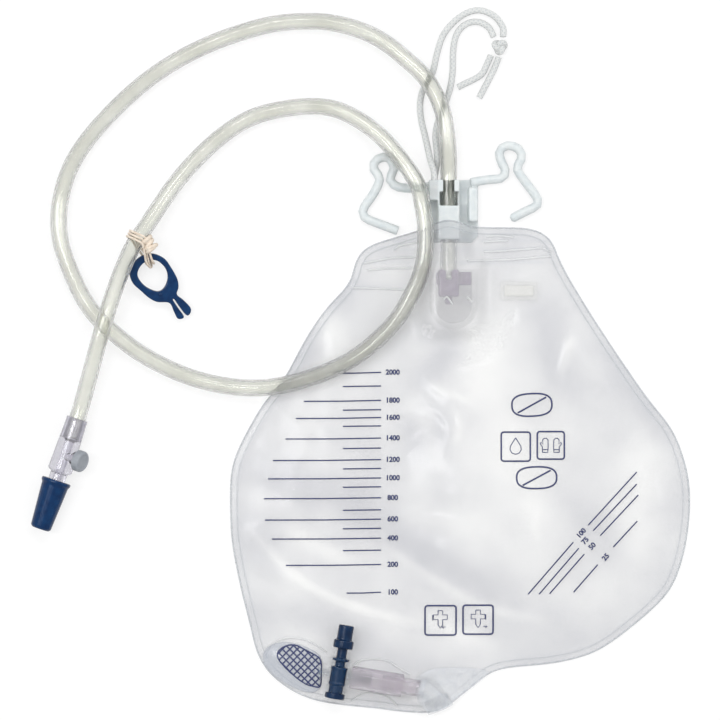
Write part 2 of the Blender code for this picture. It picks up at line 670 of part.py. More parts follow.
def make_bag(films):
    outline = bag_outline()
    back = bmesh.new()
    prism(back, outline, 0.0, FILM_T)
    mesh_object(back, "back_film", films)
    spacing = [
        (FINE_STEP, lambda x, y: in_neck(x, y) or in_tip(x, y)),
        (COARSE_STEP, lambda x, y: not in_neck(x, y) and not in_tip(x, y)),
    ]
    folds = fold_lines()
    sheet("front_film", outline, WELD_W, spacing, lambda x, y, inside: front_height(x, y, inside, folds),
          FILM_T, films, fold_points(folds))


def make_pocket(finish):
    """A low film patch that is welded round its edge and open towards the tap."""
    outline = smooth_route([Vector((x * MM, y * MM, 0)) for x, y in POCKET_OUTLINE], POCKET_STEP, closed=True)
    mouth_x = max(p.x for p in outline)

    def lower(x, y, inside):
        open_share = ease((inside - POCKET_WELD) / POCKET_SLOPE)
        mouth = ease((x - mouth_x + MOUTH_DEPTH + 2 * MM) / MOUTH_DEPTH)
        mouth *= ease(1 - abs(y - MOUTH_Y) * 2 / MOUTH_W)
        return FRONT_TOP + GAP + POCKET_H * max(open_share * 0.8, mouth * 0.9)

    spacing = [(POCKET_STEP, lambda x, y: True)]
    sheet("outlet_pocket", outline, POCKET_WELD, spacing, lower, POCKET_T, finish)


def make_hanger(finish):
    """Plate, tube housing, ribs, string eye and the two hooks, moulded as one."""
    bm = bmesh.new()
    plate = [
        (PLATE_X0, PLATE_Y0 + 4 * MM), (PLATE_X0 + 4 * MM, PLATE_Y0), (PLATE_X1 - 4 * MM, PLATE_Y0),
        (PLATE_X1, PLATE_Y0 + 4 * MM), (PLATE_X1, HANGER_TOP - 4 * MM), (PLATE_X1 - 3 * MM, HANGER_TOP),
        (PLATE_X0 + 2 * MM, HANGER_TOP), (PLATE_X0, HANGER_TOP - 2 * MM),
    ]
    prism(bm, [Vector(p) for p in plate], PLATE_Z, PLATE_Z + PLATE_T)
    hanger = mesh_object(bm, "hanger", finish)

    housing = bmesh.new()
    block(housing, TUBE_X - HOUSING_HALF, TUBE_X + HOUSING_HALF, HOUSING_Y0, HANGER_TOP, PLATE_Z,
          HOUSING_TOP, bevel=1.0 * MM)
    boolean(hanger, cutter(housing, "housing_tool"), "UNION")

    string_r = STRING_D / 2 + GAP
    eye_x = STRING_A_ROUTE[0][0] * MM
    eye_x0, eye_x1 = eye_x - string_r - EYE_WALL, eye_x + string_r + EYE_WALL
    eye = bmesh.new()
    block(eye, eye_x0, eye_x1, HANGER_TOP - EYE_DEPTH - 2 * MM, HANGER_TOP, PLATE_Z, HOUSING_TOP - 0.2 * MM,
          bevel=0.8 * MM)
    boolean(hanger, cutter(eye, "eye_tool"), "UNION")

    rib = bmesh.new()
    block(rib, PLATE_X1 - RIB_W, PLATE_X1, RIB_Y0, RIB_Y1, PLATE_Z, RIB_H, bevel=1.6 * MM, segments=3)
    boolean(hanger, cutter(rib, "rib_tool"), "UNION")

    hooks = (("right_hook_tool", RIGHT_HOOK, True), ("left_hook_tool", LEFT_HOOK, False))
    for name, route, round_end in hooks:
        rod = bmesh.new()
        line = smooth_route([Vector((x * MM, y * MM, HOOK_Z)) for x, y in route], HOOK_STEP)
        sweep(rod, line, HOOK_D / 2, HOOK_SIDES, round_end)
        boolean(hanger, cutter(rod, name), "UNION")

    bore = bmesh.new()
    along_y = Matrix.Translation((TUBE_X, 0, TUBE_Z)) @ Matrix.Rotation(-math.pi / 2, 4, "X")
    cylinder(bore, TUBE_BORE_R, PLATE_Y0 - 5 * MM, HANGER_TOP + 5 * MM, ROUND, along_y)
    boolean(hanger, cutter(bore, "bore_tool"), "DIFFERENCE")

    window = bmesh.new()
    block(window, TUBE_X - WINDOW_W / 2 + 1.2 * MM, TUBE_X + WINDOW_W / 2, WINDOW_Y0, WINDOW_Y1, TUBE_Z,
          HOUSING_TOP + 5 * MM)
    boolean(hanger, cutter(window, "window_tool"), "DIFFERENCE")
    slot = bmesh.new()
    block(slot, TUBE_X - SLOT_W / 2, TUBE_X + SLOT_W / 2, WINDOW_Y1 - 1 * MM, HANGER_TOP + 5 * MM, TUBE_Z,
          HOUSING_TOP + 5 * MM)
    boolean(hanger, cutter(slot, "slot_tool"), "DIFFERENCE")

    pocket = bmesh.new()
    block(pocket, eye_x - string_r, eye_x + string_r, HANGER_TOP - EYE_DEPTH, HANGER_TOP + 3 * MM,
          STRING_B_ROUTE[0][2] * MM - string_r, STRING_A_ROUTE[0][2] * MM + string_r)
    boolean(hanger, cutter(pocket, "pocket_tool"), "DIFFERENCE")
    pin = bmesh.new()
    pin_z = (STRING_A_ROUTE[0][2] + STRING_B_ROUTE[0][2]) / 2 * MM
    along_x = Matrix.Translation((0, HANGER_TOP - EYE_DEPTH + 4.5 * MM, pin_z)) @ Matrix.Rotation(
        math.pi / 2, 4, "Y")
    pin_x0, pin_x1 = (eye_x0 + eye_x - string_r) / 2, (eye_x1 + eye_x + string_r) / 2
    cylinder(pin, EYE_PIN_D / 2, pin_x0, pin_x1, 12, along_x)
    boolean(hanger, cutter(pin, "pin_tool"), "UNION")


def make_string(finish):
    cord("string_strand_a", STRING_A_ROUTE, STRING_STEP, STRING_D, finish, 2)
    cord("string_strand_b", STRING_B_ROUTE, STRING_STEP, STRING_D, finish, 2)
    cord("string_tail_a", TAIL_A_ROUTE, STRING_STEP, STRING_D, finish, 2)
    cord("string_tail_b", TAIL_B_ROUTE, STRING_STEP, STRING_D, finish, 2)
    knot = bmesh.new()
    bmesh.ops.create_uvsphere(knot, u_segments=14, v_segments=8, radius=1.0)
    bmesh.ops.scale(knot, verts=knot.verts, vec=KNOT_SIZE)
    bmesh.ops.translate(knot, verts=knot.verts, vec=(*KNOT_AT, KNOT_SIZE[2] + GAP))
    mesh_object(knot, "string_knot", finish)


def chamber_outline(half, low, high):
    """A U shape: straight sides from the top, and a half round at the lower end."""
    points = [Vector((CHAMBER_X + half, high)), Vector((CHAMBER_X - half, high))]
    for k in range(13):
        angle = math.pi + math.pi * k / 12
        points.append(Vector((CHAMBER_X + half * math.cos(angle), low + half + half * math.sin(angle))))
    return points


def make_chamber(clear, purple, flap):
    half = CHAMBER_W / 2
    shell = bmesh.new()
    prism(shell, chamber_outline(half, CHAMBER_Y0, CHAMBER_Y1), FLANGE_Z, CHAMBER_TOP)
    rims = [e for e in shell.edges if all(v.co.z > CHAMBER_TOP - GAP for v in e.verts) and e.is_manifold
            and e.calc_face_angle(0.0) > 1.0 and min(v.co.y for v in e.verts) < CHAMBER_Y1 - GAP]
    bmesh.ops.bevel(shell, geom=rims, offset=CHAMBER_ROUND, segments=3, profile=0.5, affect="EDGES",
                    material=-1, clamp_overlap=True)
    chamber = mesh_object(shell, "drip_chamber", clear)
    flange = bmesh.new()
    wide = half + FLANGE_W
    prism(flange, chamber_outline(wide, CHAMBER_Y0 - FLANGE_W, CHAMBER_Y1), FLANGE_Z, FLANGE_Z + FLANGE_T)
    boolean(chamber, cutter(flange, "flange_tool"), "UNION")
    hollow = bmesh.new()
    inner = half - CHAMBER_T
    prism(hollow, chamber_outline(inner, CHAMBER_Y0 + CHAMBER_T, CHAMBER_Y1 + 5 * MM), FLANGE_Z - 2 * MM,
          CHAMBER_TOP - CHAMBER_T)
    rims = [e for e in hollow.edges if all(v.co.z > CHAMBER_TOP - CHAMBER_T - GAP for v in e.verts)
            and e.is_manifold and e.calc_face_angle(0.0) > 1.0
            and min(v.co.y for v in e.verts) < CHAMBER_Y1]
    bmesh.ops.bevel(hollow, geom=rims, offset=CHAMBER_ROUND - CHAMBER_T, segments=3, profile=0.5,
                    affect="EDGES", material=-1, clamp_overlap=True)
    boolean(chamber, cutter(hollow, "hollow_tool"), "DIFFERENCE")

    leaf = bmesh.new()
    prism(leaf, chamber_outline(inner, CHAMBER_Y0 + CHAMBER_T, CHAMBER_Y1 - 2 * MM), FILM_T + GAP,
          FILM_T + GAP + FLAP_T)
    mesh_object(leaf, "anti_reflux_flap", flap)

    body = bmesh.new()
    x0, x1 = TUBE_X - FITTING_W / 2, TUBE_X + FITTING_W / 2
    top = CHAMBER_TOP - CHAMBER_T - GAP
    block(body, x0, x1, FITTING_Y0, CHAMBER_Y1, FLANGE_Z + GAP, top, bevel=1.2 * MM)
    fitting = mesh_object(body, "inlet_fitting", purple)
    wing = bmesh.new()
    wing_top = CHAMBER_Y1 - WING_DROP
    block(wing, CHAMBER_X - inner + GAP, CHAMBER_X + inner - GAP, wing_top - WING_L, wing_top,
          TUBE_Z - WING_T / 2, TUBE_Z + WING_T / 2, bevel=0.5 * MM, segments=1)
    boolean(fitting, cutter(wing, "wing_tool"), "UNION")
    along_y = Matrix.Translation((TUBE_X, 0, TUBE_Z)) @ Matrix.Rotation(-math.pi / 2, 4, "X")
    drip = bmesh.new()
    cylinder(drip, DRIP_D / 2, FITTING_Y0 - DRIP_L, FITTING_Y0 + 2 * MM, 16, along_y)
    boolean(fitting, cutter(drip, "drip_tool"), "UNION")
    socket = bmesh.new()
    tube_end = TUBE_ROUTE[0][1] * MM
    cylinder(socket, TUBE_BORE_R, tube_end - GAP, CHAMBER_Y1 + 5 * MM, ROUND, along_y)
    boolean(fitting, cutter(socket, "socket_tool"), "DIFFERENCE")
    channel = bmesh.new()
    cylinder(channel, DRIP_BORE / 2, FITTING_Y0 - DRIP_L - 2 * MM, tube_end + 1 * MM, 12, along_y)
    boolean(fitting, cutter(channel, "channel_tool"), "DIFFERENCE")


def make_vent(frame_finish, paper):
    x, y = VENT_AT
    w, h = VENT_SIZE[0] / 2, VENT_SIZE[1] / 2
    low = FRONT_TOP + VENT_PAD_H + GAP
    body = bmesh.new()
    block(body, x - w, x + w, y - h, y + h, low, low + VENT_T, bevel=0.4 * MM, segments=1)
    housing = mesh_object(body, "vent_housing", frame_finish)
    recess = bmesh.new()
    rw, rh = w - VENT_RIM, h - VENT_RIM
    block(recess, x - rw, x + rw, y - rh, y + rh, low + VENT_T - MEMBRANE_T - GAP, low + VENT_T + 1 * MM)
    boolean(housing, cutter(recess, "recess_tool"), "DIFFERENCE")
    way = bmesh.new()
    block(way, x - rw + 1.2 * MM, x + rw - 1.2 * MM, y - rh + 1.2 * MM, y + rh - 1.2 * MM, low - 1 * MM,
          low + VENT_T)
    boolean(housing, cutter(way, "way_tool"), "DIFFERENCE")
    patch = bmesh.new()
    block(patch, x - rw + GAP, x + rw - GAP, y - rh + GAP, y + rh - GAP, low + VENT_T - MEMBRANE_T,
          low + VENT_T)
    mesh_object(patch, "vent_membrane", paper)


def make_connector(clear, rubber, blue):
    """The sampling connector, its rubber port and its cap, all on one level axis."""
    axis = frame("connector_axis", (*CONNECTOR_AT, CONNECTOR_Z), CONNECTOR_TURN)
    nozzle_r, tip_r = NOZZLE_D / 2, NOZZLE_TIP_D / 2
    end = CONNECTOR_L + NOZZLE_L
    socket_r, channel_r = TUBE_BORE_R, CHANNEL_D / 2
    body = bmesh.new()
    turned(body, [
        (socket_r, 0), (CONNECTOR_TOP_D / 2, 0), (CONNECTOR_TOP_D / 2 + 0.2 * MM, 1.2 * MM),
        (CONNECTOR_TOP_D / 2, 1.4 * MM), (CONNECTOR_END_D / 2, CONNECTOR_L - 1.2 * MM),
        (CONNECTOR_END_D / 2 - 1.0 * MM, CONNECTOR_L), (nozzle_r + 0.4 * MM, CONNECTOR_L),
        (nozzle_r, CONNECTOR_L + 1.0 * MM), (nozzle_r, CONNECTOR_L + NOZZLE_BARE),
        (tip_r + 0.4 * MM, end - 8 * MM), (tip_r + 0.8 * MM, end - 7 * MM), (tip_r, end),
        (channel_r, end), (channel_r, TUBE_SOCKET + 1.5 * MM), (socket_r - 1.4 * MM, TUBE_SOCKET),
        (socket_r, TUBE_SOCKET),
    ])
    connector = mesh_object(body, "sample_connector", clear, axis)
    lean = (Matrix.Translation((0, 0, BOSS_AT)) @ Matrix.Rotation(math.pi - BOSS_TILT, 4, "Z")
            @ Matrix.Rotation(math.pi / 2, 4, "Y"))
    boss = bmesh.new()
    cylinder(boss, BOSS_D / 2, CHANNEL_D / 2 + 0.8 * MM, BOSS_L, ROUND, lean)
    boolean(connector, cutter(boss, "boss_tool", axis), "UNION")
    hole = bmesh.new()
    cylinder(hole, BOSS_D / 2 - 2.0 * MM, 0, BOSS_L + 2 * MM, 16, lean)
    boolean(connector, cutter(hole, "port_tool", axis), "DIFFERENCE")

    plug = bmesh.new()
    face = BOSS_L + GAP + SEPTUM_FACE_T
    skirt = BOSS_D / 2 + GAP
    turned(plug, [
        (0, face - 0.5 * MM), (SEPTUM_D / 2 - 2.2 * MM, face - 0.5 * MM), (SEPTUM_D / 2 - 1.8 * MM, face),
        (SEPTUM_D / 2 - 0.8 * MM, face), (SEPTUM_D / 2, face - 0.9 * MM),
        (SEPTUM_D / 2, face - SEPTUM_L + SEPTUM_CUT), (skirt, face - SEPTUM_L + SEPTUM_CUT),
        (skirt, BOSS_L + GAP), (0, BOSS_L + GAP),
    ])
    bmesh.ops.transform(plug, matrix=lean, verts=plug.verts)
    mesh_object(plug, "sample_septum", rubber, axis)

    start = CONNECTOR_L + NOZZLE_BARE
    far = start + CAP_L
    flange_r, cap_r, cap_end_r = CAP_FLANGE_D / 2, CAP_D / 2, CAP_END_D / 2
    bore_r, bore_end_r = nozzle_r + GAP, tip_r + 0.8 * MM + GAP
    hood = bmesh.new()
    turned(hood, [
        (bore_r, start), (flange_r - 0.4 * MM, start), (flange_r, start + 0.5 * MM),
        (flange_r, start + CAP_FLANGE_T), (cap_r, start + CAP_FLANGE_T + 1.2 * MM),
        (cap_end_r, far - 1.2 * MM), (cap_end_r - 1.2 * MM, far), (0, far),
        (0, end + GAP * 2), (bore_end_r - 0.3 * MM, end + GAP * 2), (bore_end_r, end - 7 * MM),
    ])
    mesh_object(hood, "protective_cap", blue, axis)


def make_clip(blue, tan):
    """The sheet clip, raised at its ring where the rubber band passes under it, and the band."""
    pivot = Vector((*CLIP_PIVOT, GAP))
    outline = [p - pivot.to_2d().to_3d() for p in smooth_clip(CLIP_OUTLINE, 4.2 * MM)]
    hole = [p - pivot.to_2d().to_3d() for p in smooth_clip(CLIP_HOLE, 3.6 * MM)]
    bm = bmesh.new()
    prism(bm, outline, 0.0, CLIP_T, [hole])
    edges = [e for e in bm.edges if e.calc_face_angle(0.0) > 1.2]
    bmesh.ops.bevel(bm, geom=edges, offset=CLIP_BEVEL, segments=1, profile=0.5, affect="EDGES", material=-1,
                    clamp_overlap=True)
    clip = mesh_object(bm, "sheet_clip", blue)
    reach = Vector((-0.59, 0.81, 0)).normalized()
    clip.location = pivot
    clip.rotation_mode = "QUATERNION"
    clip.rotation_quaternion = Quaternion(reach.cross(Vector((0, 0, 1))), CLIP_TILT)

    make_band(tan, pivot + clip.rotation_quaternion @ (Vector((*CLIP_BAR, CLIP_T / 2 + GAP)) - pivot),
              clip.rotation_quaternion @ Vector((math.cos(BAR_TURN), math.sin(BAR_TURN), 0)))


def make_band(tan, bar_at, bar_along):
    """A rubber band of three turns, wound round the tube and round the clip's top bar."""
    line = smooth_route(millimetres(TUBE_ROUTE), TUBE_STEP)
    spans = [(a, b) for a, b in zip(line, line[1:])]
    place_at = Vector((*BAND_AT, bar_at.z))
    behind, ahead = min(spans, key=lambda ab: ((ab[0] + ab[1]) / 2 - place_at).length)
    tube_along = (behind - ahead).normalized()
    tube_at = ahead + tube_along * (place_at - ahead).dot(tube_along)
    across = (bar_at - tube_at).normalized()
    ends = []
    for at, along, radius, first in (
            (tube_at, tube_along, TUBE_D / 2, math.pi / 2),
            (bar_at, bar_along, BAR_R, -math.pi / 2)):
        outward = (across - along * across.dot(along)).normalized()
        upward = along.cross(outward)
        upward *= 1 if upward.z > 0 else -1
        ends.append((at, along, radius + GAP + BAND_SLACK + BAND_D / 2, first, outward, upward))
    ring = []
    for at, along, radius, first, outward, upward in ends:
        for k in range(BAND_STEPS + 1):
            angle = first + math.pi * k / BAND_STEPS
            out = outward * math.cos(angle) + upward * math.sin(angle)
            ring.append((at + out * radius, out, along))
    points = []
    count = len(ring)
    first = BAND_STEPS // 2
    for turn in range(BAND_TURNS):
        for k in range(count):
            share = k / count
            at, out, along = ring[(first + k) % count]
            phase = math.radians(30) + 2 * math.pi / BAND_TURNS * (turn + ease((share - 0.25) / 0.5))
            rise = BAND_BULGE * math.sin(math.pi * share) ** 2
            points.append(at + out * rise * (1 + math.sin(phase)) + along * BAND_SPREAD * math.cos(phase))
    wound = smooth_route(points, BAND_STEP, closed=True)
    data = bpy.data.curves.new("rubber_band", "CURVE")
    data.dimensions = "3D"
    data.bevel_depth = BAND_D / 2
    data.bevel_resolution = 1
    spline = data.splines.new("POLY")
    spline.points.add(len(wound) - 2)
    for point, at in zip(spline.points, wound):
        point.co = (*at, 1.0)
    spline.use_cyclic_u = True
    place(data, "rubber_band", tan)


def smooth_clip(points, step):
    return smooth_route([Vector((x * MM, y * MM, 0)) for x, y in points], step, closed=True)


def make_tap(clear, blue, soft, frosted):
    """The slide tap: local Z runs along the plunger, local Y across to the drain tube."""
    axis = frame("tap_axis", (*TAP_AT, TAP_Z), TAP_TURN)
    half = TAP_BODY_L / 2
    body_r, bore_r = TAP_BODY_D / 2, TAP_BORE_D / 2
    shell = bmesh.new()
    turned(shell, [
        (bore_r, -half), (body_r - 0.4 * MM, -half), (body_r, -half + 0.4 * MM), (body_r, -half + 2 * MM),
        (body_r - 0.5 * MM, -half + 2.4 * MM), (body_r - 0.5 * MM, half - 2.4 * MM), (body_r, half - 2 * MM),
        (body_r, half - 0.4 * MM), (body_r - 0.4 * MM, half), (bore_r, half),
    ])
    body = mesh_object(shell, "tap_body", clear, axis)
    across = Matrix.Rotation(-math.pi / 2, 4, "X")
    back = Matrix.Rotation(math.pi / 2, 4, "X")
    barb = bmesh.new()
    cylinder(barb, BARB_D / 2, bore_r + 0.4 * MM, BARB_L, ROUND, across)
    boolean(body, cutter(barb, "barb_tool", axis), "UNION")
    spigot = bmesh.new()
    cylinder(spigot, SPIGOT_D / 2, bore_r + 0.4 * MM, SPIGOT_L, 16, back)
    boolean(body, cutter(spigot, "spigot_tool", axis), "UNION")
    inlet = bmesh.new()
    cylinder(inlet, PORT_BORE / 2, 0, BARB_L + 2 * MM, 16, across)
    boolean(body, cutter(inlet, "inlet_tool", axis), "DIFFERENCE")
    outlet = bmesh.new()
    cylinder(outlet, SPIGOT_BORE / 2, 0, SPIGOT_L + 2 * MM, 12, back)
    boolean(body, cutter(outlet, "outlet_tool", axis), "DIFFERENCE")

    land_r, waist_r, rib_r = TAP_LAND_D / 2, TAP_WAIST_D / 2, TAP_RIB_D / 2
    collar = -half - GAP - TAP_STROKE
    button = collar - TAP_COLLAR_L
    foot = half + GAP
    rod = bmesh.new()
    turned(rod, [
        (0, button - TAP_BUTTON_L), (TAP_BUTTON_D / 2 - 0.5 * MM, button - TAP_BUTTON_L),
        (TAP_BUTTON_D / 2, button - TAP_BUTTON_L + 0.5 * MM), (TAP_BUTTON_D / 2, button),
        (TAP_COLLAR_D / 2, button + 0.6 * MM), (TAP_COLLAR_D / 2, collar - 0.4 * MM),
        (TAP_COLLAR_D / 2 - 0.4 * MM, collar), (waist_r, collar),
        (waist_r, -half + 0.6 * MM), (rib_r, -half + 1.0 * MM), (rib_r, -half + 2.2 * MM),
        (waist_r, -half + 2.8 * MM), (waist_r, -half + 5.6 * MM), (rib_r, -half + 6.2 * MM),
        (rib_r, -half + 7.4 * MM), (land_r, -half + 7.8 * MM), (land_r, half - 6.4 * MM),
        (rib_r, half - 6.0 * MM), (rib_r, half - 4.8 * MM), (land_r - 0.5 * MM, half - 4.4 * MM),
        (land_r - 0.5 * MM, foot), (TAP_FLANGE_D / 2, foot),
        (TAP_FLANGE_D / 2, foot + TAP_FLANGE_L - 0.5 * MM),
        (TAP_FLANGE_D / 2 - 0.5 * MM, foot + TAP_FLANGE_L), (TAP_WAIST_D / 2, foot + TAP_FLANGE_L),
        (TAP_WAIST_D / 2 - 0.4 * MM, foot + TAP_FLANGE_L - 2 * MM), (0, foot + TAP_FLANGE_L - 2 * MM),
    ])
    mesh_object(rod, "tap_plunger", blue, axis)

    sleeve = bmesh.new()
    sleeve_from = body_r + GAP + 0.6 * MM
    sleeve_in, sleeve_r = BARB_D / 2 + GAP, SLEEVE_D / 2
    sleeve_to = sleeve_from + SLEEVE_L
    turned(sleeve, [
        (sleeve_in, sleeve_from), (sleeve_r - 0.3 * MM, sleeve_from), (sleeve_r, sleeve_from + 0.3 * MM),
        (sleeve_r, sleeve_to - 0.5 * MM), (sleeve_r - 0.5 * MM, sleeve_to), (sleeve_in, sleeve_to),
    ])
    bmesh.ops.transform(sleeve, matrix=across, verts=sleeve.verts)
    mesh_object(sleeve, "drain_sleeve", soft, axis)

    tube = bmesh.new()
    tube_from = sleeve_to - DRAIN_IN
    tube_to = sleeve_to + DRAIN_OUT
    turned(tube, [
        (DRAIN_D / 2 - DRAIN_WALL, tube_from), (DRAIN_D / 2, tube_from), (DRAIN_D / 2, tube_to),
        (DRAIN_D / 2 - DRAIN_WALL, tube_to),
    ])
    bmesh.ops.transform(tube, matrix=across, verts=tube.verts)
    mesh_object(tube, "drain_tube", soft, axis)

    make_spout(frosted, tube_to - SPOUT_GRIP)


def make_spout(frosted, mouth_from):
    """The frosted outlet: a round mouth that flattens, folds over the tip and ends between the films."""
    turn = TAP_TURN + math.pi / 2
    out = Vector((math.cos(turn), math.sin(turn), 0))
    up = Vector((0, 0, 1))
    mouth_side = Vector((-out.y, out.x, 0))
    mouth = Vector((*TAP_AT, TAP_Z)) + out * mouth_from
    fold = Vector((*FOLD_AT, 0))
    crease = Vector((math.cos(FOLD_TURN), math.sin(FOLD_TURN), 0))
    down = Vector((crease.y, -crease.x, 0))
    r, half, thin = SPOUT_MOUTH_D / 2, SPOUT_FLAT_W / 2, SPOUT_FLAT_T / 2
    root_z = PLATE_Z + thin
    over = FRONT_Z + SPOUT_FLAT_T + GAP + FILM_T + GAP

    def on_film(share, height, lift=0.0):
        at = mouth.lerp(fold, share)
        return Vector((at.x, at.y, over + height + lift))

    halfway = mouth_side.lerp(crease, 0.5).normalized()
    bend = (down + up * 0.3).normalized()
    stations = [
        (mouth, mouth_side, up, r, r),
        (mouth + out * SPOUT_GRIP, mouth_side, up, r, r * 0.98),
        (on_film(0.36, r * 0.64, 0.6 * MM), halfway, up, r * 1.12, r * 0.64),
        (on_film(0.74, r * 0.32, 0.2 * MM), crease, up, half * 0.95, r * 0.32),
        (on_film(0.98, thin * 1.3, 0.1 * MM), crease, up, half, thin * 1.3),
        (fold + down * 2.1 * MM + up * (over + root_z) / 2, crease, bend, half, thin),
        (fold + down * 1.4 * MM + up * (root_z + 0.6 * MM), crease, (down - up).normalized(), half, thin),
        (fold - down * 0.8 * MM + up * root_z, crease, -up, half, thin),
        (fold - down * ROOT_L + up * root_z, crease, -up, half * 0.96, thin * 0.8),
    ]

    def ring(at, wide, tall, a, b):
        angles = [2 * math.pi * (k + 0.5) / ROUND for k in range(ROUND)]
        return [at + wide * a * math.cos(q) + tall * b * math.sin(q) for q in angles]

    bore = DRAIN_D / 2 + GAP
    inner = [ring(mouth + out * depth, mouth_side, up, bore, bore) for depth in (SPOUT_GRIP + GAP, 0.0)]
    bm = bmesh.new()
    loft(bm, inner + [ring(*station) for station in stations])
    mesh_object(bm, "outlet_spout", frosted)


def build():
    clear_scene()
    film = material("bag film", (0.86, 0.87, 0.90), 0.25, 0.45)
    pocket = material("pocket film", (0.86, 0.87, 0.90), 0.3, 0.4)
    white = material("white moulding", (0.88, 0.91, 0.94), 0.35)
    string = material("white cord", (0.88, 0.91, 0.94), 0.8)
    vinyl = material("clear vinyl tube", (0.86, 0.87, 0.80), 0.1, 0.5)
    clear = material("clear moulding", (0.72, 0.72, 0.78), 0.08, 0.55)
    purple = material("tinted fitting", (0.50, 0.38, 0.50), 0.12, 0.8)
    soft = material("drain tube vinyl", (0.80, 0.72, 0.78), 0.12, 0.55)
    flap = material("valve film", (0.84, 0.84, 0.86), 0.3, 0.5)
    cream = material("vent moulding", (0.90, 0.91, 0.88), 0.4)
    paper = material("vent membrane", (0.92, 0.93, 0.88), 0.7)
    blue = material("blue moulding", (0.02, 0.10, 0.26), 0.3)
    rubber = material("grey rubber", (0.42, 0.45, 0.50), 0.55)
    tan = material("tan rubber band", (0.78, 0.66, 0.54), 0.6)
    frosted = material("frosted outlet", (0.82, 0.85, 0.88), 0.5, 0.85)

    make_bag(film)
    make_pocket(pocket)
    make_hanger(white)
    make_string(string)
    cord("inlet_tube", TUBE_ROUTE, TUBE_STEP, TUBE_D, vinyl, 3)
    make_chamber(clear, purple, flap)
    make_vent(cream, paper)
    make_connector(clear, rubber, blue)
    make_clip(blue, tan)
    make_tap(clear, blue, soft, frosted)


build()
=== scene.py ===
# %% [markdown]
# # A urine drainage bag on a white table
#
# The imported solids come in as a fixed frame, and this lesson dresses them. The films become soft sheets with
# creases, welds and print. The tube becomes clear and hollow, and the string becomes a braid. The moulded
# parts get the rounded edges and the finish of real mouldings. Every piece rides on a body of the frame, so
# the slide tap and the cap still move.

# %% Load the frame
import math

import bmesh
import bpy
import numpy as np
from mathutils import Matrix, Vector
from mathutils.bvhtree import BVHTree


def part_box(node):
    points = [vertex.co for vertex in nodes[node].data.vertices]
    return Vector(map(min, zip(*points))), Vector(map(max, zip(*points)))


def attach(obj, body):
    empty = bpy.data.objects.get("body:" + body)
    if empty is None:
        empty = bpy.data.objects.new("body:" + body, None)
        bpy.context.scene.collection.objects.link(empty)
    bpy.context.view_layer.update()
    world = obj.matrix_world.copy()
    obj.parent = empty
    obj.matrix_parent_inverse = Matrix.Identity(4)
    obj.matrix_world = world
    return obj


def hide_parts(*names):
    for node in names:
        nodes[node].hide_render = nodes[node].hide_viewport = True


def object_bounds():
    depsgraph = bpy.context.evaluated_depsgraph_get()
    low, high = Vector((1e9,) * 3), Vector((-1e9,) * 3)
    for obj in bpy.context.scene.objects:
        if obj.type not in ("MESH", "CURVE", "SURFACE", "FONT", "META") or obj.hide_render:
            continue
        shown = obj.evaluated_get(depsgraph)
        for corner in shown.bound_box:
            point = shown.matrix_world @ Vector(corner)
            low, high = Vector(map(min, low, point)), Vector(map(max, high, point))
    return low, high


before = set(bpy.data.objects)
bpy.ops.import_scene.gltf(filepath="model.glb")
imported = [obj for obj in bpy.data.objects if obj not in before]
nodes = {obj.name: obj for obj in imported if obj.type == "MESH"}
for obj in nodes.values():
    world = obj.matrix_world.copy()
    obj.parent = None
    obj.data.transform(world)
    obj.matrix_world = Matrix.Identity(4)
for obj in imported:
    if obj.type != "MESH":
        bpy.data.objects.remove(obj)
cad_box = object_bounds()
MM = 0.001
ROOT = "bag"
JOIN_GAP = 0.002 * MM
SLICE = 2000

# %% [markdown]
# ## Camera
#
# The photograph looks straight down with little perspective, as from far away. A long lens four metres up
# does the same. One pixel of the frame covers 0.6 mm of the table, and the frame's middle lies to the left
# of the bag, because the tube's loop takes up that side. A camera looks along its own -Z and has +Y up, so
# it needs no turning here.

# %% Camera
PIXEL = 0.6 * MM
FRAME_PIXELS = 720
VIEW_MIDDLE = (-60.0 * MM, 39.9 * MM)
CAMERA_HEIGHT = 4.0

camera_data = bpy.data.cameras.new("table_camera")
camera_data.sensor_width = 36.0
camera_data.lens = camera_data.sensor_width * CAMERA_HEIGHT / (FRAME_PIXELS * PIXEL)
camera_data.clip_end = 20.0
camera = bpy.data.objects.new("table_camera", camera_data)
camera.location = (*VIEW_MIDDLE, CAMERA_HEIGHT)
bpy.context.collection.objects.link(camera)
bpy.context.scene.camera = camera
bpy.context.scene.view_settings.view_transform = "Standard"
print("lens:", round(camera_data.lens), "mm")

# %% [markdown]
# ## A white table and soft light
#
# The bag lies on a white sheet under large soft lamps, so it has almost no shadow. Diffuse white alone would
# turn grey in the corners. So the table adds a little white light of its own, only where a camera ray, a
# glossy ray or a ray through clear vinyl meets it, and its diffuse share still carries the soft shadow.

# %% Table and lamps
TABLE_SIZE = 6.0
TABLE_GLOW = 0.74

white = bpy.data.materials.new("white table")
white.use_nodes = True
tree = white.node_tree
tree.nodes.remove(tree.nodes["Principled BSDF"])
paper = tree.nodes.new("ShaderNodeBsdfDiffuse")
paper.inputs["Color"].default_value = (0.9, 0.9, 0.9, 1.0)
glow = tree.nodes.new("ShaderNodeEmission")
glow.inputs["Strength"].default_value = 1.0
ray = tree.nodes.new("ShaderNodeLightPath")
seen = tree.nodes.new("ShaderNodeMath")
seen.operation = "MAXIMUM"
tree.links.new(ray.outputs["Is Camera Ray"], seen.inputs[0])
tree.links.new(ray.outputs["Is Glossy Ray"], seen.inputs[1])
seen_through = tree.nodes.new("ShaderNodeMath")
seen_through.operation = "MAXIMUM"
tree.links.new(seen.outputs["Value"], seen_through.inputs[0])
tree.links.new(ray.outputs["Is Transmission Ray"], seen_through.inputs[1])
share = tree.nodes.new("ShaderNodeMath")
share.operation = "MULTIPLY"
share.inputs[1].default_value = TABLE_GLOW
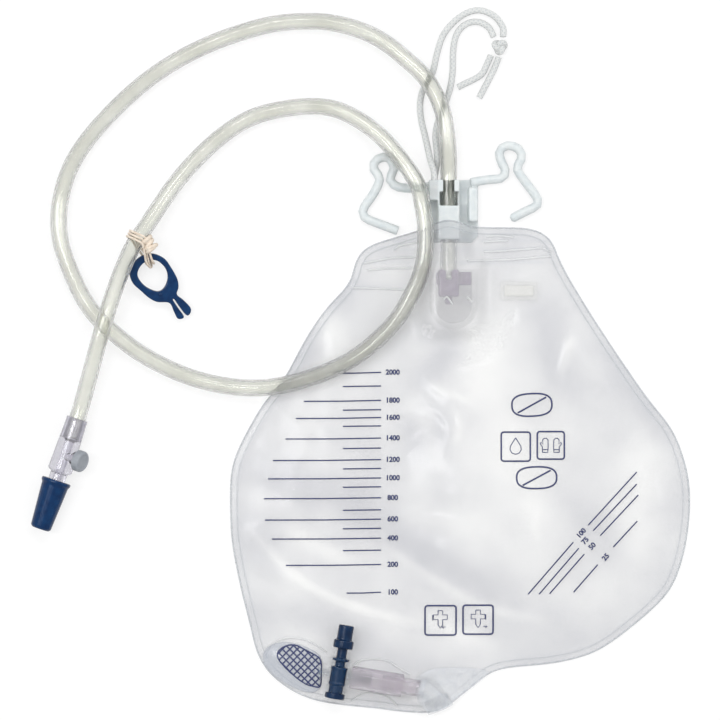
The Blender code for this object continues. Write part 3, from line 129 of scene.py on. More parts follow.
tree.links.new(seen_through.outputs["Value"], share.inputs[0])
both = tree.nodes.new("ShaderNodeMixShader")
tree.links.new(share.outputs["Value"], both.inputs["Fac"])
tree.links.new(paper.outputs["BSDF"], both.inputs[1])
tree.links.new(glow.outputs["Emission"], both.inputs[2])
tree.links.new(both.outputs["Shader"], tree.nodes["Material Output"].inputs["Surface"])

table_mesh = bpy.data.meshes.new("table")
half = TABLE_SIZE / 2
table_low = cad_box[0][2] - 0.05 * MM
table_mesh.from_pydata([(-half, -half, table_low), (half, -half, table_low), (half, half, table_low),
                        (-half, half, table_low)], [], [(0, 1, 2, 3)])
table_mesh.materials.append(white)
table = bpy.data.objects.new("table", table_mesh)
bpy.context.collection.objects.link(table)

world = bpy.data.worlds.new("soft studio")
world.use_nodes = True
world.node_tree.nodes["Background"].inputs["Color"].default_value = (1.0, 1.0, 1.0, 1.0)
world.node_tree.nodes["Background"].inputs["Strength"].default_value = 0.64
bpy.context.scene.world = world


def lamp(name, size, power, at, towards=(0.0, 0.0, 0.0)):
    data = bpy.data.lights.new(name, "AREA")
    data.shape = "RECTANGLE"
    data.size, data.size_y = size
    data.energy = power
    made = bpy.data.objects.new(name, data)
    made.location = at
    made.rotation_euler = (Vector(towards) - Vector(at)).to_track_quat("-Z", "Y").to_euler()
    bpy.context.collection.objects.link(made)
    return made


lamp("left strip", (0.25, 1.3), 11.0, (-0.85, 0.15, 1.5))
lamp("right softbox", (0.7, 1.2), 7.5, (1.3, 0.3, 1.4))
lamp("top strip", (1.3, 0.22), 9.5, (0.0, 0.95, 1.5))
print("table at", round(table_low / MM, 2), "mm, three lamps")

# %% [markdown]
# ## Small helpers
#
# Most pieces need the same few steps: link the object, give it a finish, let it ride on a body and hide the
# solid that it stands for. A modifier's result is read once and kept as a plain mesh, so that nothing is left
# to work out later and the piece sits at the origin.


# %% Helpers for pieces
def new_piece(mesh, name, finish, body=ROOT, stands_for=()):
    made = bpy.data.objects.new(name, mesh)
    bpy.context.collection.objects.link(made)
    mesh.materials.clear()
    mesh.materials.append(finish)
    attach(made, body)
    if stands_for:
        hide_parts(*stands_for)
    return made


def frozen(maker):
    """The mesh of an object with its modifiers worked out. The object itself is removed."""
    bpy.context.view_layer.update()
    graph = bpy.context.evaluated_depsgraph_get()
    mesh = bpy.data.meshes.new_from_object(maker.evaluated_get(graph))
    bpy.data.objects.remove(maker, do_unlink=True)
    return mesh


def merged_copy(node):
    """A copy of a solid's triangles, joined along their edges."""
    bm = bmesh.new()
    bm.from_mesh(nodes[node].data)
    bmesh.ops.remove_doubles(bm, verts=bm.verts, dist=JOIN_GAP)
    mesh = bpy.data.meshes.new(node + "_copy")
    bm.to_mesh(mesh)
    bm.free()
    return mesh


def triangles(mesh):
    return sum(len(p.vertices) - 2 for p in mesh.polygons)


# %% [markdown]
# ## The smooth routes
#
# A tube that was packed in a coil and then laid down keeps long, even bends. A few given points carry
# the route, and a Catmull-Rom curve passes through all of them, so no bend has a corner. The result is then
# read at even steps, because patterns and rings along a cord need even spacing.


# %% Smooth route
SPAN_STEPS = 12


def smooth_route(points, step):
    """Points about a step apart on a smooth curve through the given points."""
    points = [Vector(p) * MM for p in points]
    fine = []
    for i in range(len(points) - 1):
        b, c = points[i], points[i + 1]
        a = points[i - 1] if i else b * 2 - c
        d = points[i + 2] if i + 2 < len(points) else c * 2 - b
        for k in range(SPAN_STEPS):
            t = k / SPAN_STEPS
            fine.append(0.5 * (2 * b + (c - a) * t + (2 * a - 5 * b + 4 * c - d) * t * t
                               + (3 * b - a - 3 * c + d) * t ** 3))
    fine.append(points[-1].copy())
    lengths = [0.0]
    for a, b in zip(fine, fine[1:]):
        lengths.append(lengths[-1] + (b - a).length)
    pieces = max(2, round(lengths[-1] / step))
    found, k = [], 0
    for i in range(pieces + 1):
        want = lengths[-1] * i / pieces
        while k < len(fine) - 2 and lengths[k + 1] < want:
            k += 1
        share = (want - lengths[k]) / max(lengths[k + 1] - lengths[k], 1e-12)
        found.append(fine[k].lerp(fine[k + 1], min(share, 1.0)))
    return found, lengths[-1]


def route_curve(name, points, radius, sides_step, closed=False):
    data = bpy.data.curves.new(name, "CURVE")
    data.dimensions = "3D"
    data.bevel_depth = radius
    data.bevel_resolution = sides_step
    spline = data.splines.new("POLY")
    spline.points.add(len(points) - 1)
    for point, at in zip(spline.points, points):
        point.co = (*at, 1.0)
    spline.use_cyclic_u = closed
    return data


# %% [markdown]
# ## Node helpers
#
# A finish is more than one colour. Each one here starts from a Principled shader, and noise in Object
# coordinates shifts its colour, its roughness and its bump a little. Object coordinates are in metres, so a
# scale of 500 gives marks of about 2 mm.


# %% Material helpers
def add(tree, kind, **values):
    node = tree.nodes.new(kind)
    for key, value in values.items():
        setattr(node, key, value)
    return node


def fresh_finish(name):
    made = bpy.data.materials.new(name)
    made.use_nodes = True
    tree = made.node_tree
    shader = tree.nodes["Principled BSDF"]
    coords = add(tree, "ShaderNodeTexCoord")
    return made, tree, shader, coords.outputs["Object"]


def noise(tree, coords, scale, detail=3.0, roughness=0.5):
    node = add(tree, "ShaderNodeTexNoise")
    node.inputs["Scale"].default_value = scale
    node.inputs["Detail"].default_value = detail
    node.inputs["Roughness"].default_value = roughness
    tree.links.new(coords, node.inputs["Vector"])
    return node.outputs["Fac"]


def spread(tree, value, low, high, start=0.3, end=0.7):
    """Map a value between start and end on to low and high."""
    node = add(tree, "ShaderNodeMapRange")
    node.inputs["From Min"].default_value = start
    node.inputs["From Max"].default_value = end
    node.inputs["To Min"].default_value = low
    node.inputs["To Max"].default_value = high
    tree.links.new(value, node.inputs["Value"])
    return node.outputs["Result"]


def blend_colours(tree, value, first, second, start=0.3, end=0.7, easing="LINEAR"):
    node = add(tree, "ShaderNodeValToRGB")
    node.color_ramp.interpolation = easing
    node.color_ramp.elements[0].position = start
    node.color_ramp.elements[0].color = (*first, 1.0)
    node.color_ramp.elements[1].position = end
    node.color_ramp.elements[1].color = (*second, 1.0)
    tree.links.new(value, node.inputs["Fac"])
    return node.outputs["Color"]


def bump(tree, shader, value, strength, distance):
    node = add(tree, "ShaderNodeBump")
    node.inputs["Strength"].default_value = strength
    node.inputs["Distance"].default_value = distance
    tree.links.new(value, node.inputs["Height"])
    tree.links.new(node.outputs["Normal"], shader.inputs["Normal"])
    return node


def turned_by(tree, attribute, colour, other):
    """A colour that turns to another one where a vertex attribute is high."""
    mark = add(tree, "ShaderNodeAttribute", attribute_name=attribute)
    turned = add(tree, "ShaderNodeMix", data_type="RGBA", blend_type="MIX")
    tree.links.new(mark.outputs["Fac"], turned.inputs["Factor"])
    tree.links.new(colour, turned.inputs["A"])
    turned.inputs["B"].default_value = (*other, 1.0)
    return turned.outputs["Result"]


def moulding_finish(name, dark, light, roughness, mark_scale=260.0, grain_scale=2200.0, grain=0.12,
                    alpha=1.0, transmission=0.0, ior=1.46, gloss=0.5, painted_side_shade=None):
    """Moulded plastic: slow shifts of colour, a fine grain, and a roughness that differs by place.

    Upright walls get painted shade: a clear moulding looks darkest through its upright walls, and the side
    colour given here is the painted shade that they turn to.
    """
    made, tree, shader, coords = fresh_finish(name)
    shift = noise(tree, coords, mark_scale, 4.0, 0.55)
    colour = blend_colours(tree, shift, dark, light)
    if painted_side_shade:
        colour = turned_by(tree, "painted_side_shade", colour, painted_side_shade)
    tree.links.new(colour, shader.inputs["Base Color"])
    tree.links.new(spread(tree, shift, roughness * 0.8, roughness * 1.25), shader.inputs["Roughness"])
    shader.inputs["Specular IOR Level"].default_value = gloss
    bump(tree, shader, noise(tree, coords, grain_scale, 2.0), grain, 0.05 * MM)
    shader.inputs["Alpha"].default_value = alpha
    shader.inputs["Transmission Weight"].default_value = transmission
    shader.inputs["IOR"].default_value = ior
    return made


# %% [markdown]
# ## The inlet tube
#
# The tube is soft clear vinyl, 10 mm outside with a 1.4 mm wall. It leaves the inlet fitting in the bag,
# passes up through the hanger, makes a wide loop to the left, comes back over the bag and ends in the
# sampling connector. It could be a solid rod, but a real tube shows four edges from above: two outer ones
# and two inner ones. So the curve's round skin gets a wall with Solidify and stays hollow.

# %% Inlet tube
TUBE_D = 10.0 * MM
TUBE_WALL = 1.4 * MM
TUBE_SIDE_SHADE_POWER = 2.5
TUBE_ROUTE = [
    (-6.9, 88.4, 7.3), (-6.9, 104, 7.3), (-6.9, 120, 7.3), (-6.9, 136, 7.3), (-6.9, 151.5, 7.3),
    (-7.0, 159.5, 8.4), (-7.4, 168, 9.4), (-8.4, 177, 9.8), (-10.4, 188.1, 9.8), (-15.3, 200.1, 9.8),
    (-22.2, 210.3, 9.6), (-32.4, 219.9, 8.0), (-43, 228.6, 6.2), (-56, 236, 5.2), (-72, 241, 5.1),
    (-90, 242.9, 5.1), (-116.5, 240.3, 5.1), (-152.4, 228.3, 5.1), (-184.5, 209.9, 5.1),
    (-212, 185.1, 5.1), (-230.4, 161.3, 5.1), (-239, 138, 5.1), (-240, 114, 5.1), (-232, 89.5, 5.1),
    (-221.2, 69.9, 5.1), (-206.5, 55.1, 5.1), (-189.1, 42.3, 5.1), (-166.2, 31.2, 5.1),
    (-143.2, 24.9, 5.9), (-120.2, 23.2, 7.0), (-99, 26.6, 7.6), (-75.6, 34.8, 8.4), (-57.3, 45.6, 9.6),
    (-39.8, 62.1, 12.0), (-28.4, 80.3, 15.0), (-22.2, 97.3, 17.4), (-20.8, 116.8, 18.0), (-23.0, 134, 17.8),
    (-25.4, 144, 16.2), (-30.8, 153.4, 14.0), (-38.6, 163.6, 12.4), (-48.4, 174.4, 10.2),
    (-61.4, 184.0, 7.0), (-75.6, 190.4, 5.4), (-92.4, 191.9, 5.1), (-114.4, 188.6, 5.1),
    (-129.4, 183.0, 5.1), (-144.1, 173.2, 5.2), (-158.8, 159.4, 6.2), (-170.7, 145.4, 8.6),
    (-180.2, 131.6, 11.2), (-188.2, 119.4, 13.2), (-195.4, 108.6, 14.4), (-202.4, 93, 15.4),
    (-208, 77.6, 15.8), (-212.8, 62.4, 15.8), (-217.2, 47, 14.6), (-221.6, 31, 12.0), (-226.2, 14.4, 9.7),
    (-229.4, 4.2, 9.3), (-231.6, -2.35, 9.3), (-233.1, -6.8, 9.3),
]

vinyl, tree, shader, coords = fresh_finish("clear vinyl tube")
haze = noise(tree, coords, 55.0, 3.0)
hazed = blend_colours(tree, haze, (0.83, 0.835, 0.785), (0.92, 0.925, 0.885))
# Painted shade: the tube's upright sides turn dark grey, standing in for the dark edge lines of a clear tube
# seen from above.
tree.links.new(turned_by(tree, "painted_side_shade", hazed, (0.30, 0.30, 0.32)), shader.inputs["Base Color"])
tree.links.new(spread(tree, noise(tree, coords, 320.0), 0.05, 0.14), shader.inputs["Roughness"])
shader.inputs["Transmission Weight"].default_value = 1.0
shader.inputs["IOR"].default_value = 1.42
shader.inputs["Alpha"].default_value = 0.85
bump(tree, shader, noise(tree, coords, 140.0, 2.0), 0.04, 0.2 * MM)


def mark_flanks(mesh, power):
    """Note in an attribute how upright the skin stands at each point, from 0, level, to 1; finishes paint
    shade by it on upright walls.
    """
    painted_side_shade = mesh.attributes.new("painted_side_shade", "FLOAT", "POINT")
    painted_side_shade.data.foreach_set("value", [(1 - abs(v.normal.z)) ** power for v in mesh.vertices])


tube_path, tube_length = smooth_route(TUBE_ROUTE, 3.0 * MM)
tube_data = route_curve("inlet_tube_clear", tube_path, TUBE_D / 2, 10)
tube_maker = bpy.data.objects.new("inlet_tube_maker", tube_data)
bpy.context.collection.objects.link(tube_maker)
wall = tube_maker.modifiers.new("wall", "SOLIDIFY")
wall.thickness = TUBE_WALL
wall.offset = -1.0
tube_mesh = frozen(tube_maker)
tube_mesh.shade_smooth()
mark_flanks(tube_mesh, TUBE_SIDE_SHADE_POWER)
inlet_tube = new_piece(tube_mesh, "inlet_tube_clear", vinyl, stands_for=("inlet_tube",))
print("tube:", round(tube_length, 3), "m")

# %% [markdown]
# ## The braided tie string
#
# The bag can hang by a string: a thin white braid that goes through the hanger's eye and is knotted into a
# loop. A plain round rod would look like wire. In a braid, bundles of yarn cross over each other, so the
# skin rises and sinks in diamonds. Each point of a strand's round skin is placed by its nearest point on the
# route, its turn round it and its way along it, and moves out or in by two crossing waves.

# %% String finish
STRING_D = 4.0 * MM
YARN_PITCH = 5.2 * MM
YARN_COUNT = 4
YARN_RISE = 0.18 * MM
STRING_STEP = 0.55 * MM
STRING_ROOM = 0.1 * MM

braid, tree, shader, coords = fresh_finish("white braid")
dirt = noise(tree, coords, 240.0, 4.0)
hair = noise(tree, coords, 3800.0, 2.0)
# Painted shade: the yarn height darkens the dips between the yarns, and noise multiplies in some dirt.
depth = add(tree, "ShaderNodeAttribute", attribute_name="yarn")
painted_groove_shade = blend_colours(tree, depth.outputs["Fac"], (0.44, 0.47, 0.49), (0.62, 0.63, 0.62), 0.05, 0.75)
groove_shade_and_dirt = add(tree, "ShaderNodeMix", data_type="RGBA", blend_type="MULTIPLY")
groove_shade_and_dirt.inputs["Factor"].default_value = 0.6
tree.links.new(painted_groove_shade, groove_shade_and_dirt.inputs["A"])
tree.links.new(blend_colours(tree, dirt, (0.88, 0.89, 0.90), (1.0, 1.0, 1.0)), groove_shade_and_dirt.inputs["B"])
tree.links.new(groove_shade_and_dirt.outputs["Result"], shader.inputs["Base Color"])
shader.inputs["Roughness"].default_value = 0.85
shader.inputs["Sheen Weight"].default_value = 0.3
bump(tree, shader, hair, 0.5, 0.12 * MM)


def link_plain(name, data):
    made = bpy.data.objects.new(name, data)
    bpy.context.collection.objects.link(made)
    return made


def braided(name, points, length, radius, closed=False):
    """A braided mesh along a route: two crossing sets of yarns raise the skin of a round cord."""
    data = route_curve(name, points, radius, 14, closed)
    data.use_fill_caps = not closed
    mesh = frozen(link_plain(name, data))
    path = np.array([p[:] for p in points])
    ahead = np.gradient(path, axis=0)
    ahead /= np.linalg.norm(ahead, axis=1)[:, None]
    side = np.cross(ahead, [0, 0, 1])
    up = np.cross(side, ahead)
    skin = np.array([v.co[:] for v in mesh.vertices])
    near = np.argmin(((skin[:, None, :] - path[None, :, :]) ** 2).sum(axis=2), axis=1)
    out = skin - path[near]
    turn = YARN_COUNT * np.arctan2((out * up[near]).sum(axis=1), (out * side[near]).sum(axis=1))
    travelled = near * length / len(points) + (out * ahead[near]).sum(axis=1)
    run = 2 * math.pi * travelled / YARN_PITCH * 2
    height = np.maximum(np.sin(turn + run), np.sin(turn - run))
    yarn = mesh.attributes.new("yarn", "FLOAT", "POINT")
    yarn.data.foreach_set("value", 0.5 + 0.5 * height)
    normal = out / np.maximum(np.linalg.norm(out, axis=1), 1e-9)[:, None]
    skin += normal * (YARN_RISE * (height - 0.6))[:, None]
    mesh.vertices.foreach_set("co", skin.ravel())
    mesh.shade_smooth()
    return mesh


print("braid finish made")

# %% String strands
STRING_A_ROUTE = [
    (-15.4, 142.4, 11.05), (-15.4, 148.5, 11.05), (-15.8, 153, 9.6), (-17.7, 159.2, 5.4), (-19.2, 166, 2.9),
    (-20.9, 173.8, 2.2), (-23.2, 183.5, 2.1), (-24.0, 192.9, 2.1), (-22.6, 200.9, 2.1), (-19.4, 207, 2.1),
    (-16.2, 213, 2.1), (-13.8, 223.7, 2.1), (-10.2, 234.5, 2.1), (-3.8, 242.6, 2.1), (3.7, 247.9, 2.1),
    (12, 249.6, 2.1), (20.6, 246, 2.1), (25.6, 239.4, 2.3), (25.9, 233.7, 3.0),
]
STRING_B_ROUTE = [
    (-15.4, 142.4, 4.15), (-15.4, 148.5, 4.1), (-14.6, 153.5, 3.0), (-13.6, 159.5, 2.2), (-14.1, 167.1, 2.1),
    (-14.7, 174.9, 2.1), (-12.9, 183.9, 2.1), (-8.9, 193.5, 2.1), (-5.9, 203.1, 2.1), (-4.5, 212.7, 2.1),
    (-4.2, 223.7, 2.1), (-2.9, 232.9, 2.1), (0.6, 239.0, 2.1), (6, 242.3, 2.1), (12, 242.3, 2.1),
    (17.2, 239.2, 2.4), (20.2, 233.7, 3.0),
]
TAIL_A_ROUTE = [(23.2, 221.5, 2.9), (20.6, 214.8, 2.2), (16.2, 206.1, 2.1), (11.4, 197.1, 2.1)]
TAIL_B_ROUTE = [
    (18.5, 222.6, 2.9), (15.8, 216.6, 2.2), (13.2, 211.6, 2.1), (8.4, 208.3, 2.1), (2.0, 205.2, 2.1),
    (-1.4, 203.4, 2.1),
]
KNOT_SHARE = 1.12 * MM
KNOT_D = 3.5 * MM

strings = {}
for name, route in (("string_strand_a", STRING_A_ROUTE), ("string_strand_b", STRING_B_ROUTE),
                    ("string_tail_a", TAIL_A_ROUTE), ("string_tail_b", TAIL_B_ROUTE)):
    points, length = smooth_route(route, STRING_STEP)
    mesh = braided(name + "_braid", points, length, STRING_D / 2 - STRING_ROOM)
    piece = new_piece(mesh, name + "_braid", braid, stands_for=(name,))
    strings[name] = (piece, points, length)
    print(name, round(length, 4), "m", triangles(mesh), "triangles")

# %% [markdown]
# ## The knot
#
# The two strands are tied together in a plain overhand knot. A trefoil is the closed form of that knot, and
# it has a short formula, so the knot is one more braided cord along a trefoil that sits where the solid's
# knot is.

# %% Knot
KNOT_STEPS = 180
KNOT_RUN = 60 * MM

low, high = (Vector(v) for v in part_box("string_knot"))
knot_middle = (low + high) / 2
knot_points = []
for k in range(KNOT_STEPS):
    t = 2 * math.pi * k / KNOT_STEPS
    flat = Vector((math.sin(t) + 2 * math.sin(2 * t), math.cos(t) - 2 * math.cos(2 * t),
                   -math.sin(3 * t) * 1.5))
    knot_points.append(knot_middle + flat * KNOT_SHARE)
knot_mesh = braided("string_knot_braid", knot_points, KNOT_RUN, KNOT_D / 2, closed=True)
knot = new_piece(knot_mesh, "string_knot_braid", braid, stands_for=("string_knot",))
print("knot:", triangles(knot_mesh), "triangles")

# %% [markdown]
# ## The strands and their ends
#
# Each long strand is paired with the knot and the tails at its ends and read back with its route and length;
# nothing more is done with them here.

# %% Strands and their ends
tails = [strings[name][0] for name in ("string_tail_a", "string_tail_b")]
for name, ends in (("string_strand_a", [knot, *tails]), ("string_strand_b", [knot])):
    piece, points, length = strings[name]

# %% [markdown]
# ## The film's edge and its creases
#
# The bag is two soft films, welded together all round. A film that was folded in its wrapper keeps creases:
# long low ridges that run from fold to fold, with shallow waves between them. They could be a bump map, but
# then the outline and the print would stay straight. So each crease here is a line with a height and a
# width, and the film's points rise near it. The distance to the bag's edge comes from the back film, whose
# outline is the cut of both films.

# %% Cut edge
FILM_WELD = 4.2 * MM


def edge_loop(node):
    """The outer edge of a flat node's top face, in order."""
    bm = bmesh.new()
    bm.from_mesh(nodes[node].data)
    bmesh.ops.remove_doubles(bm, verts=bm.verts, dist=JOIN_GAP)
    top = max(v.co.z for v in bm.verts) - 0.05 * MM
    rim = {e for e in bm.edges if min(v.co.z for v in e.verts) > top and e.calc_face_angle(0.0) > 1.0}
    edge = next(iter(rim))
    vert = edge.verts[0]
    found = []
    while edge:
        rim.discard(edge)
        found.append((vert.co.x, vert.co.y))
        vert = edge.other_vert(vert)
        edge = next((e for e in vert.link_edges if e in rim), None)
    bm.free()
    return found


def even_loop(loop, gap):
    """A closed loop read again at even steps."""
    points = np.array(loop + loop[:1])
    lengths = np.concatenate([[0.0], np.cumsum(np.linalg.norm(np.diff(points, axis=0), axis=1))])
    at = np.linspace(0.0, lengths[-1], round(lengths[-1] / gap), endpoint=False)
    return np.stack([np.interp(at, lengths, points[:, k]) for k in (0, 1)], axis=1)


cut_edge = even_loop(edge_loop("back_film"), 1.0 * MM)
print("cut edge:", len(cut_edge), "points")


# %% Distances
def nearest(spots, targets):
    """How far each spot is from the nearest target, in slices to save memory."""
    found = np.empty(len(spots))
    for start in range(0, len(spots), SLICE):
        part = spots[start:start + SLICE]
        apart = ((part[:, None, :] - targets[None]) ** 2).sum(axis=2)
        found[start:start + SLICE] = np.sqrt(apart).min(axis=1)
    return found


def line_distance(spots, line):
    """How far each spot is from a line of points, and how far along the line its nearest place is."""
    best = np.full(len(spots), 1e9)
    share_at = np.zeros(len(spots))
    total = sum(math.dist(a, b) for a, b in zip(line, line[1:]))
    travelled = 0.0
    for a, b in zip(line, line[1:]):
        a, b = np.array(a), np.array(b)
        run = b - a
        share = np.clip(((spots - a) @ run) / (run @ run), 0, 1)
        apart = np.linalg.norm(spots - a - share[:, None] * run, axis=1)
        closer = apart < best
        best = np.where(closer, apart, best)
        share_at = np.where(closer, (travelled + share * np.linalg.norm(run)) / total, share_at)
        travelled += np.linalg.norm(run)
    return best, share_at


def smooth_step(value):
    value = np.clip(value, 0, 1)
    return value * value * (3 - 2 * value)


print("nearest edge to the frame's origin:", round(nearest(np.zeros((1, 2)), cut_edge)[0] / MM), "mm")

# %% [markdown]
# ## The eased outline
#
# Film has no hard corners, so the outline is eased: each point moves towards its two neighbours, many times.
# Its stretch at the folded tip first moves on to a line of its own. Both films and the beads then follow the
# eased outline, and the points near the edge move most.

# %% Eased outline
EASE_ROUNDS = 40
EASE_REACH = 12.0 * MM
TIP_LINE = [
    (-48.0, -169.8), (-34.0, -171.2), (-21.2, -171.9), (-12.7, -171.1), (-7.3, -167.6), (5.6, -157.4),
    (16.3, -148.9), (21.7, -146.2), (36.0, -143.5),
]
TIP_TOP = -135.0
TIP_BLEND = 8.0


def calmed(loop, rounds):
    """A closed loop whose corners are eased, each point towards its two neighbours."""
    for _ in range(rounds):
        loop = (np.roll(loop, 1, axis=0) + 2 * loop + np.roll(loop, -1, axis=0)) / 4
    return loop


def tip_laid(loop):
    """The loop with its stretch at the outlet's tip moved on to the tip's own line."""
    line, _ = smooth_route([(x, y, 0) for x, y in TIP_LINE], 0.5 * MM)
    line = np.array([p[:2] for p in line])
    x, y = loop[:, 0] / MM, loop[:, 1] / MM
    share = smooth_step((x - TIP_LINE[0][0]) / TIP_BLEND) * smooth_step((TIP_LINE[-1][0] - x) / TIP_BLEND)
    share = share * (y < TIP_TOP)
    near = ((loop[:, None, :] - line[None]) ** 2).sum(axis=2).argmin(axis=1)
    return loop + (line[near] - loop) * share[:, None]


def edge_shift(spots):
    """How far the film's points move in the plane, so that its cut edge follows the eased outline."""
    found = np.zeros(spots.shape)
    for start in range(0, len(spots), SLICE):
        part = spots[start:start + SLICE]
        apart = ((part[:, None, :] - cut_edge[None]) ** 2).sum(axis=2)
        near = apart.argmin(axis=1)
        share = np.exp(-apart[np.arange(len(part)), near] / EASE_REACH ** 2)
        found[start:start + SLICE] = (eased_edge[near] - cut_edge[near]) * share[:, None]
    return found


eased_edge = calmed(tip_laid(cut_edge), EASE_ROUNDS)
print("edge points:", len(cut_edge), "moved up to", round(np.abs(eased_edge - cut_edge).max() / MM, 2), "mm")

# %% Creases
CREASES = [
    (0.8, 3.2, [(-126, -62), (-104, -85), (-81, -101), (-51, -112), (-21, -119)]),
    (0.8, 3.4, [(-44, -73), (-12, -94), (16, -109), (52, -116)]),
    (0.6, 3.6, [(-26, -112), (-4, -122), (22, -132)]),
    (0.6, 3.0, [(-124, -84), (-108, -104), (-86, -114), (-60, -120)]),
    (0.7, 2.6, [(-18, 27), (-12, 21), (-4, 19), (6, 15)]),
    (0.8, 2.4, [(-17, 13), (-10, 6), (-6, -2), (-9, -14)]),
    (0.7, 2.2, [(-4, 10), (0, 2), (-3, -10)]),
    (0.6, 2.4, [(2, -4), (8, -8), (14, -5)]),
    (0.6, 3.0, [(-38, 6), (-28, 1), (-18, 4)]),
    (0.9, 3.0, [(66, 56), (64, 44), (59, 28)]),
    (0.5, 5.0, [(78, 34), (92, 10), (102, -12)]),
    (0.6, 2.2, [(48, -50), (44, -58), (47, -68)]),
    (0.5, 4.0, [(-24, -52), (2, -58), (26, -72), (40, -86)]),
    (0.5, 4.0, [(110, -20), (118, -44), (112, -70), (96, -92)]),
    (0.5, 4.0, [(-86, 70), (-78, 56), (-74, 42)]),
    (0.5, 4.5, [(-104, 8), (-92, -8), (-100, -26)]),
    (0.5, 3.0, [(-46, -140), (-30, -143), (-12, -141), (0, -148)]),
    (0.5, 4.0, [(16, 60), (26, 48), (22, 34)]),
    (0.4, 5.0, [(80, -6), (90, -22), (86, -44)]),
    (0.5, 3.5, [(84, -92), (66, -110), (54, -124)]),
]
WAVE_TALL = 0.30 * MM
RIPPLE_TALL = 0.10 * MM


def crease_rise(spots):
    """The height that creases and waves add at each spot."""
    rise = np.zeros(len(spots))
    for height, width, line in CREASES:
        points, _ = smooth_route([(x, y, 0) for x, y in line], 4.0 * MM)
        apart, share = line_distance(spots, [p[:2] for p in points])
        fade = np.sin(math.pi * np.clip(share * 0.94 + 0.03, 0, 1)) ** 0.7
        sharp = np.exp(-apart / (width * 0.45 * MM)) * 0.45 + np.exp(-(apart / (width * MM)) ** 2) * 0.55
        rise += height * MM * fade * sharp
    x, y = spots[:, 0] / MM, spots[:, 1] / MM
    rise += WAVE_TALL * np.sin(x / 13 + 0.8 * np.sin(y / 19)) * np.sin(y / 16 + np.sin(x / 23))
    rise += RIPPLE_TALL * np.sin(x / 4.7 + y / 6.1) * np.sin(y / 5.3 - x / 8.9)
    return rise


print("creases:", len(CREASES))

# %% [markdown]
# ## Light and dark folds
#
# Slack film tips to the lamps in some places and away from them in others, so the photograph shows long soft
# bands, lighter and darker than the rest. Each band is a line with a strength and a width, read from the
# photograph. The finish paints them into the film's colour as painted shade and painted highlight, because
# real folds would only show under the same lamps.

# %% Tones
PAINTED_FOLD_BANDS = [
    (-0.85, 11, [(-137, -26), (-96, -32), (-63, -47), (-36, -68), (-6, -86), (27, -101), (66, -125)]),
    (-0.75, 9, [(-22, 58), (-6, 49), (-21, 31), (-39, 22)]),
    (-0.70, 4, [(-16, 12), (-12, 2), (-9, -16)]),
    (-0.60, 9, [(40, 72), (54, 64), (56, 40), (69, 13)]),
    (-0.50, 10, [(51, -35), (75, -56), (96, -80)]),
    (-0.70, 9, [(-118, -112), (-81, -118), (-51, -136), (-10, -148)]),
    (-0.50, 6, [(-38, 6), (-27, -5), (-30, -18)]),
    (-0.10, 6, [(-66, 108), (-30, 111), (20, 112), (58, 106)]),
    (-0.25, 3, [(-60, 101.5), (-30, 103.5), (20, 104), (54, 102.5)]),
    (-0.50, 9, [(-70, 84), (-96, 46), (-112, 16)]),
    (-0.45, 9, [(-126, -52), (-118, -74), (-108, -88)]),
    (-0.50, 7, [(84, 50), (108, 14), (130, -16)]),
    (0.75, 16, [(26, 66), (15, 34), (27, -2), (39, -44), (51, -66)]),
    (0.80, 7, [(-80, 68), (-74, 46)]),
    (1.10, 2.6, [(66, 54), (64, 44), (60, 31)]),
    (0.90, 3.0, [(-126, -62), (-104, -85), (-81, -101), (-51, -112), (-21, -119)]),
    (0.85, 3.4, [(-44, -73), (-12, -94), (16, -109), (52, -116)]),
    (0.70, 4.0, [(-26, -112), (-4, -122), (22, -132)]),
    (0.55, 8, [(-26, -52), (14, -60), (38, -82)]),
    (0.45, 18, [(112, -8), (108, -40), (106, -70)]),
    (1.10, 2.4, [(-18, 27), (-12, 21), (-4, 19), (6, 15)]),
    (1.00, 2.0, [(-4, 10), (0, 2), (-3, -10)]),
    (0.80, 2.0, [(48, -50), (44, -58), (47, -68)]),
    (0.60, 5, [(-100, -64), (-78, -76), (-58, -84)]),
]


def film_tone(spots):
    """Painted highlight, above 0, and painted shade, below 0, that the slack film gets at each spot."""
    painted_shading = np.zeros(len(spots))
    for strength, width, line in PAINTED_FOLD_BANDS:
        points, _ = smooth_route([(x, y, 0) for x, y in line], 5.0 * MM)
        apart, share = line_distance(spots, [p[:2] for p in points])
        fade = np.sin(math.pi * np.clip(share * 0.9 + 0.05, 0, 1)) ** 0.5
        painted_shading += strength * fade * np.exp(-(apart / (width * MM)) ** 2)
    return painted_shading


print("tones:", len(PAINTED_FOLD_BANDS))

# %% Weld ridges
WELD_LINES = [(111.9, -58, 52, 0.32), (107.1, -58, 52, 0.26), (98.7, -56, 50, 0.3), (84.9, -68, -28, 0.22)]
WELD_LINE_WIDTH = 0.9 * MM
RIM_RIDGE = 0.3 * MM
RIM_WIDTH = 0.9 * MM


def weld_rise(spots):
    """The raised lines that the welding tool leaves across the neck."""
    rise = np.zeros(len(spots))
    for y, x0, x1, height in WELD_LINES:
        line = [(x0 * MM, y * MM), ((x0 + x1) / 2 * MM, (y - 0.6) * MM), (x1 * MM, y * MM)]
        apart, _ = line_distance(spots, line)
        rise = np.maximum(rise, height * MM * np.exp(-(apart / WELD_LINE_WIDTH) ** 2))
    return rise


print("weld lines:", len(WELD_LINES))

# %% [markdown]
# ## The film's finish
#
# Soft vinyl film is clear, but two sheets of it look milky, and over a white table they turn a pale lavender
# grey. Glass shaders bend light, which a film of half a millimetre doesn't do, so a plain alpha is closer
# and stays quick. Slack film shows light and dark bands where its folds tip it to the lamps, and the finish
# paints them into its colour as painted shade and painted highlight. Two vertex attributes drive the colour,
# one for these painted bands and one for the welds, and soft noise breaks them up.

# %% Film finish
FRONT_ALPHA = 0.20
BACK_ALPHA = 0.24
WELD_COLOUR = (0.48, 0.51, 0.57)


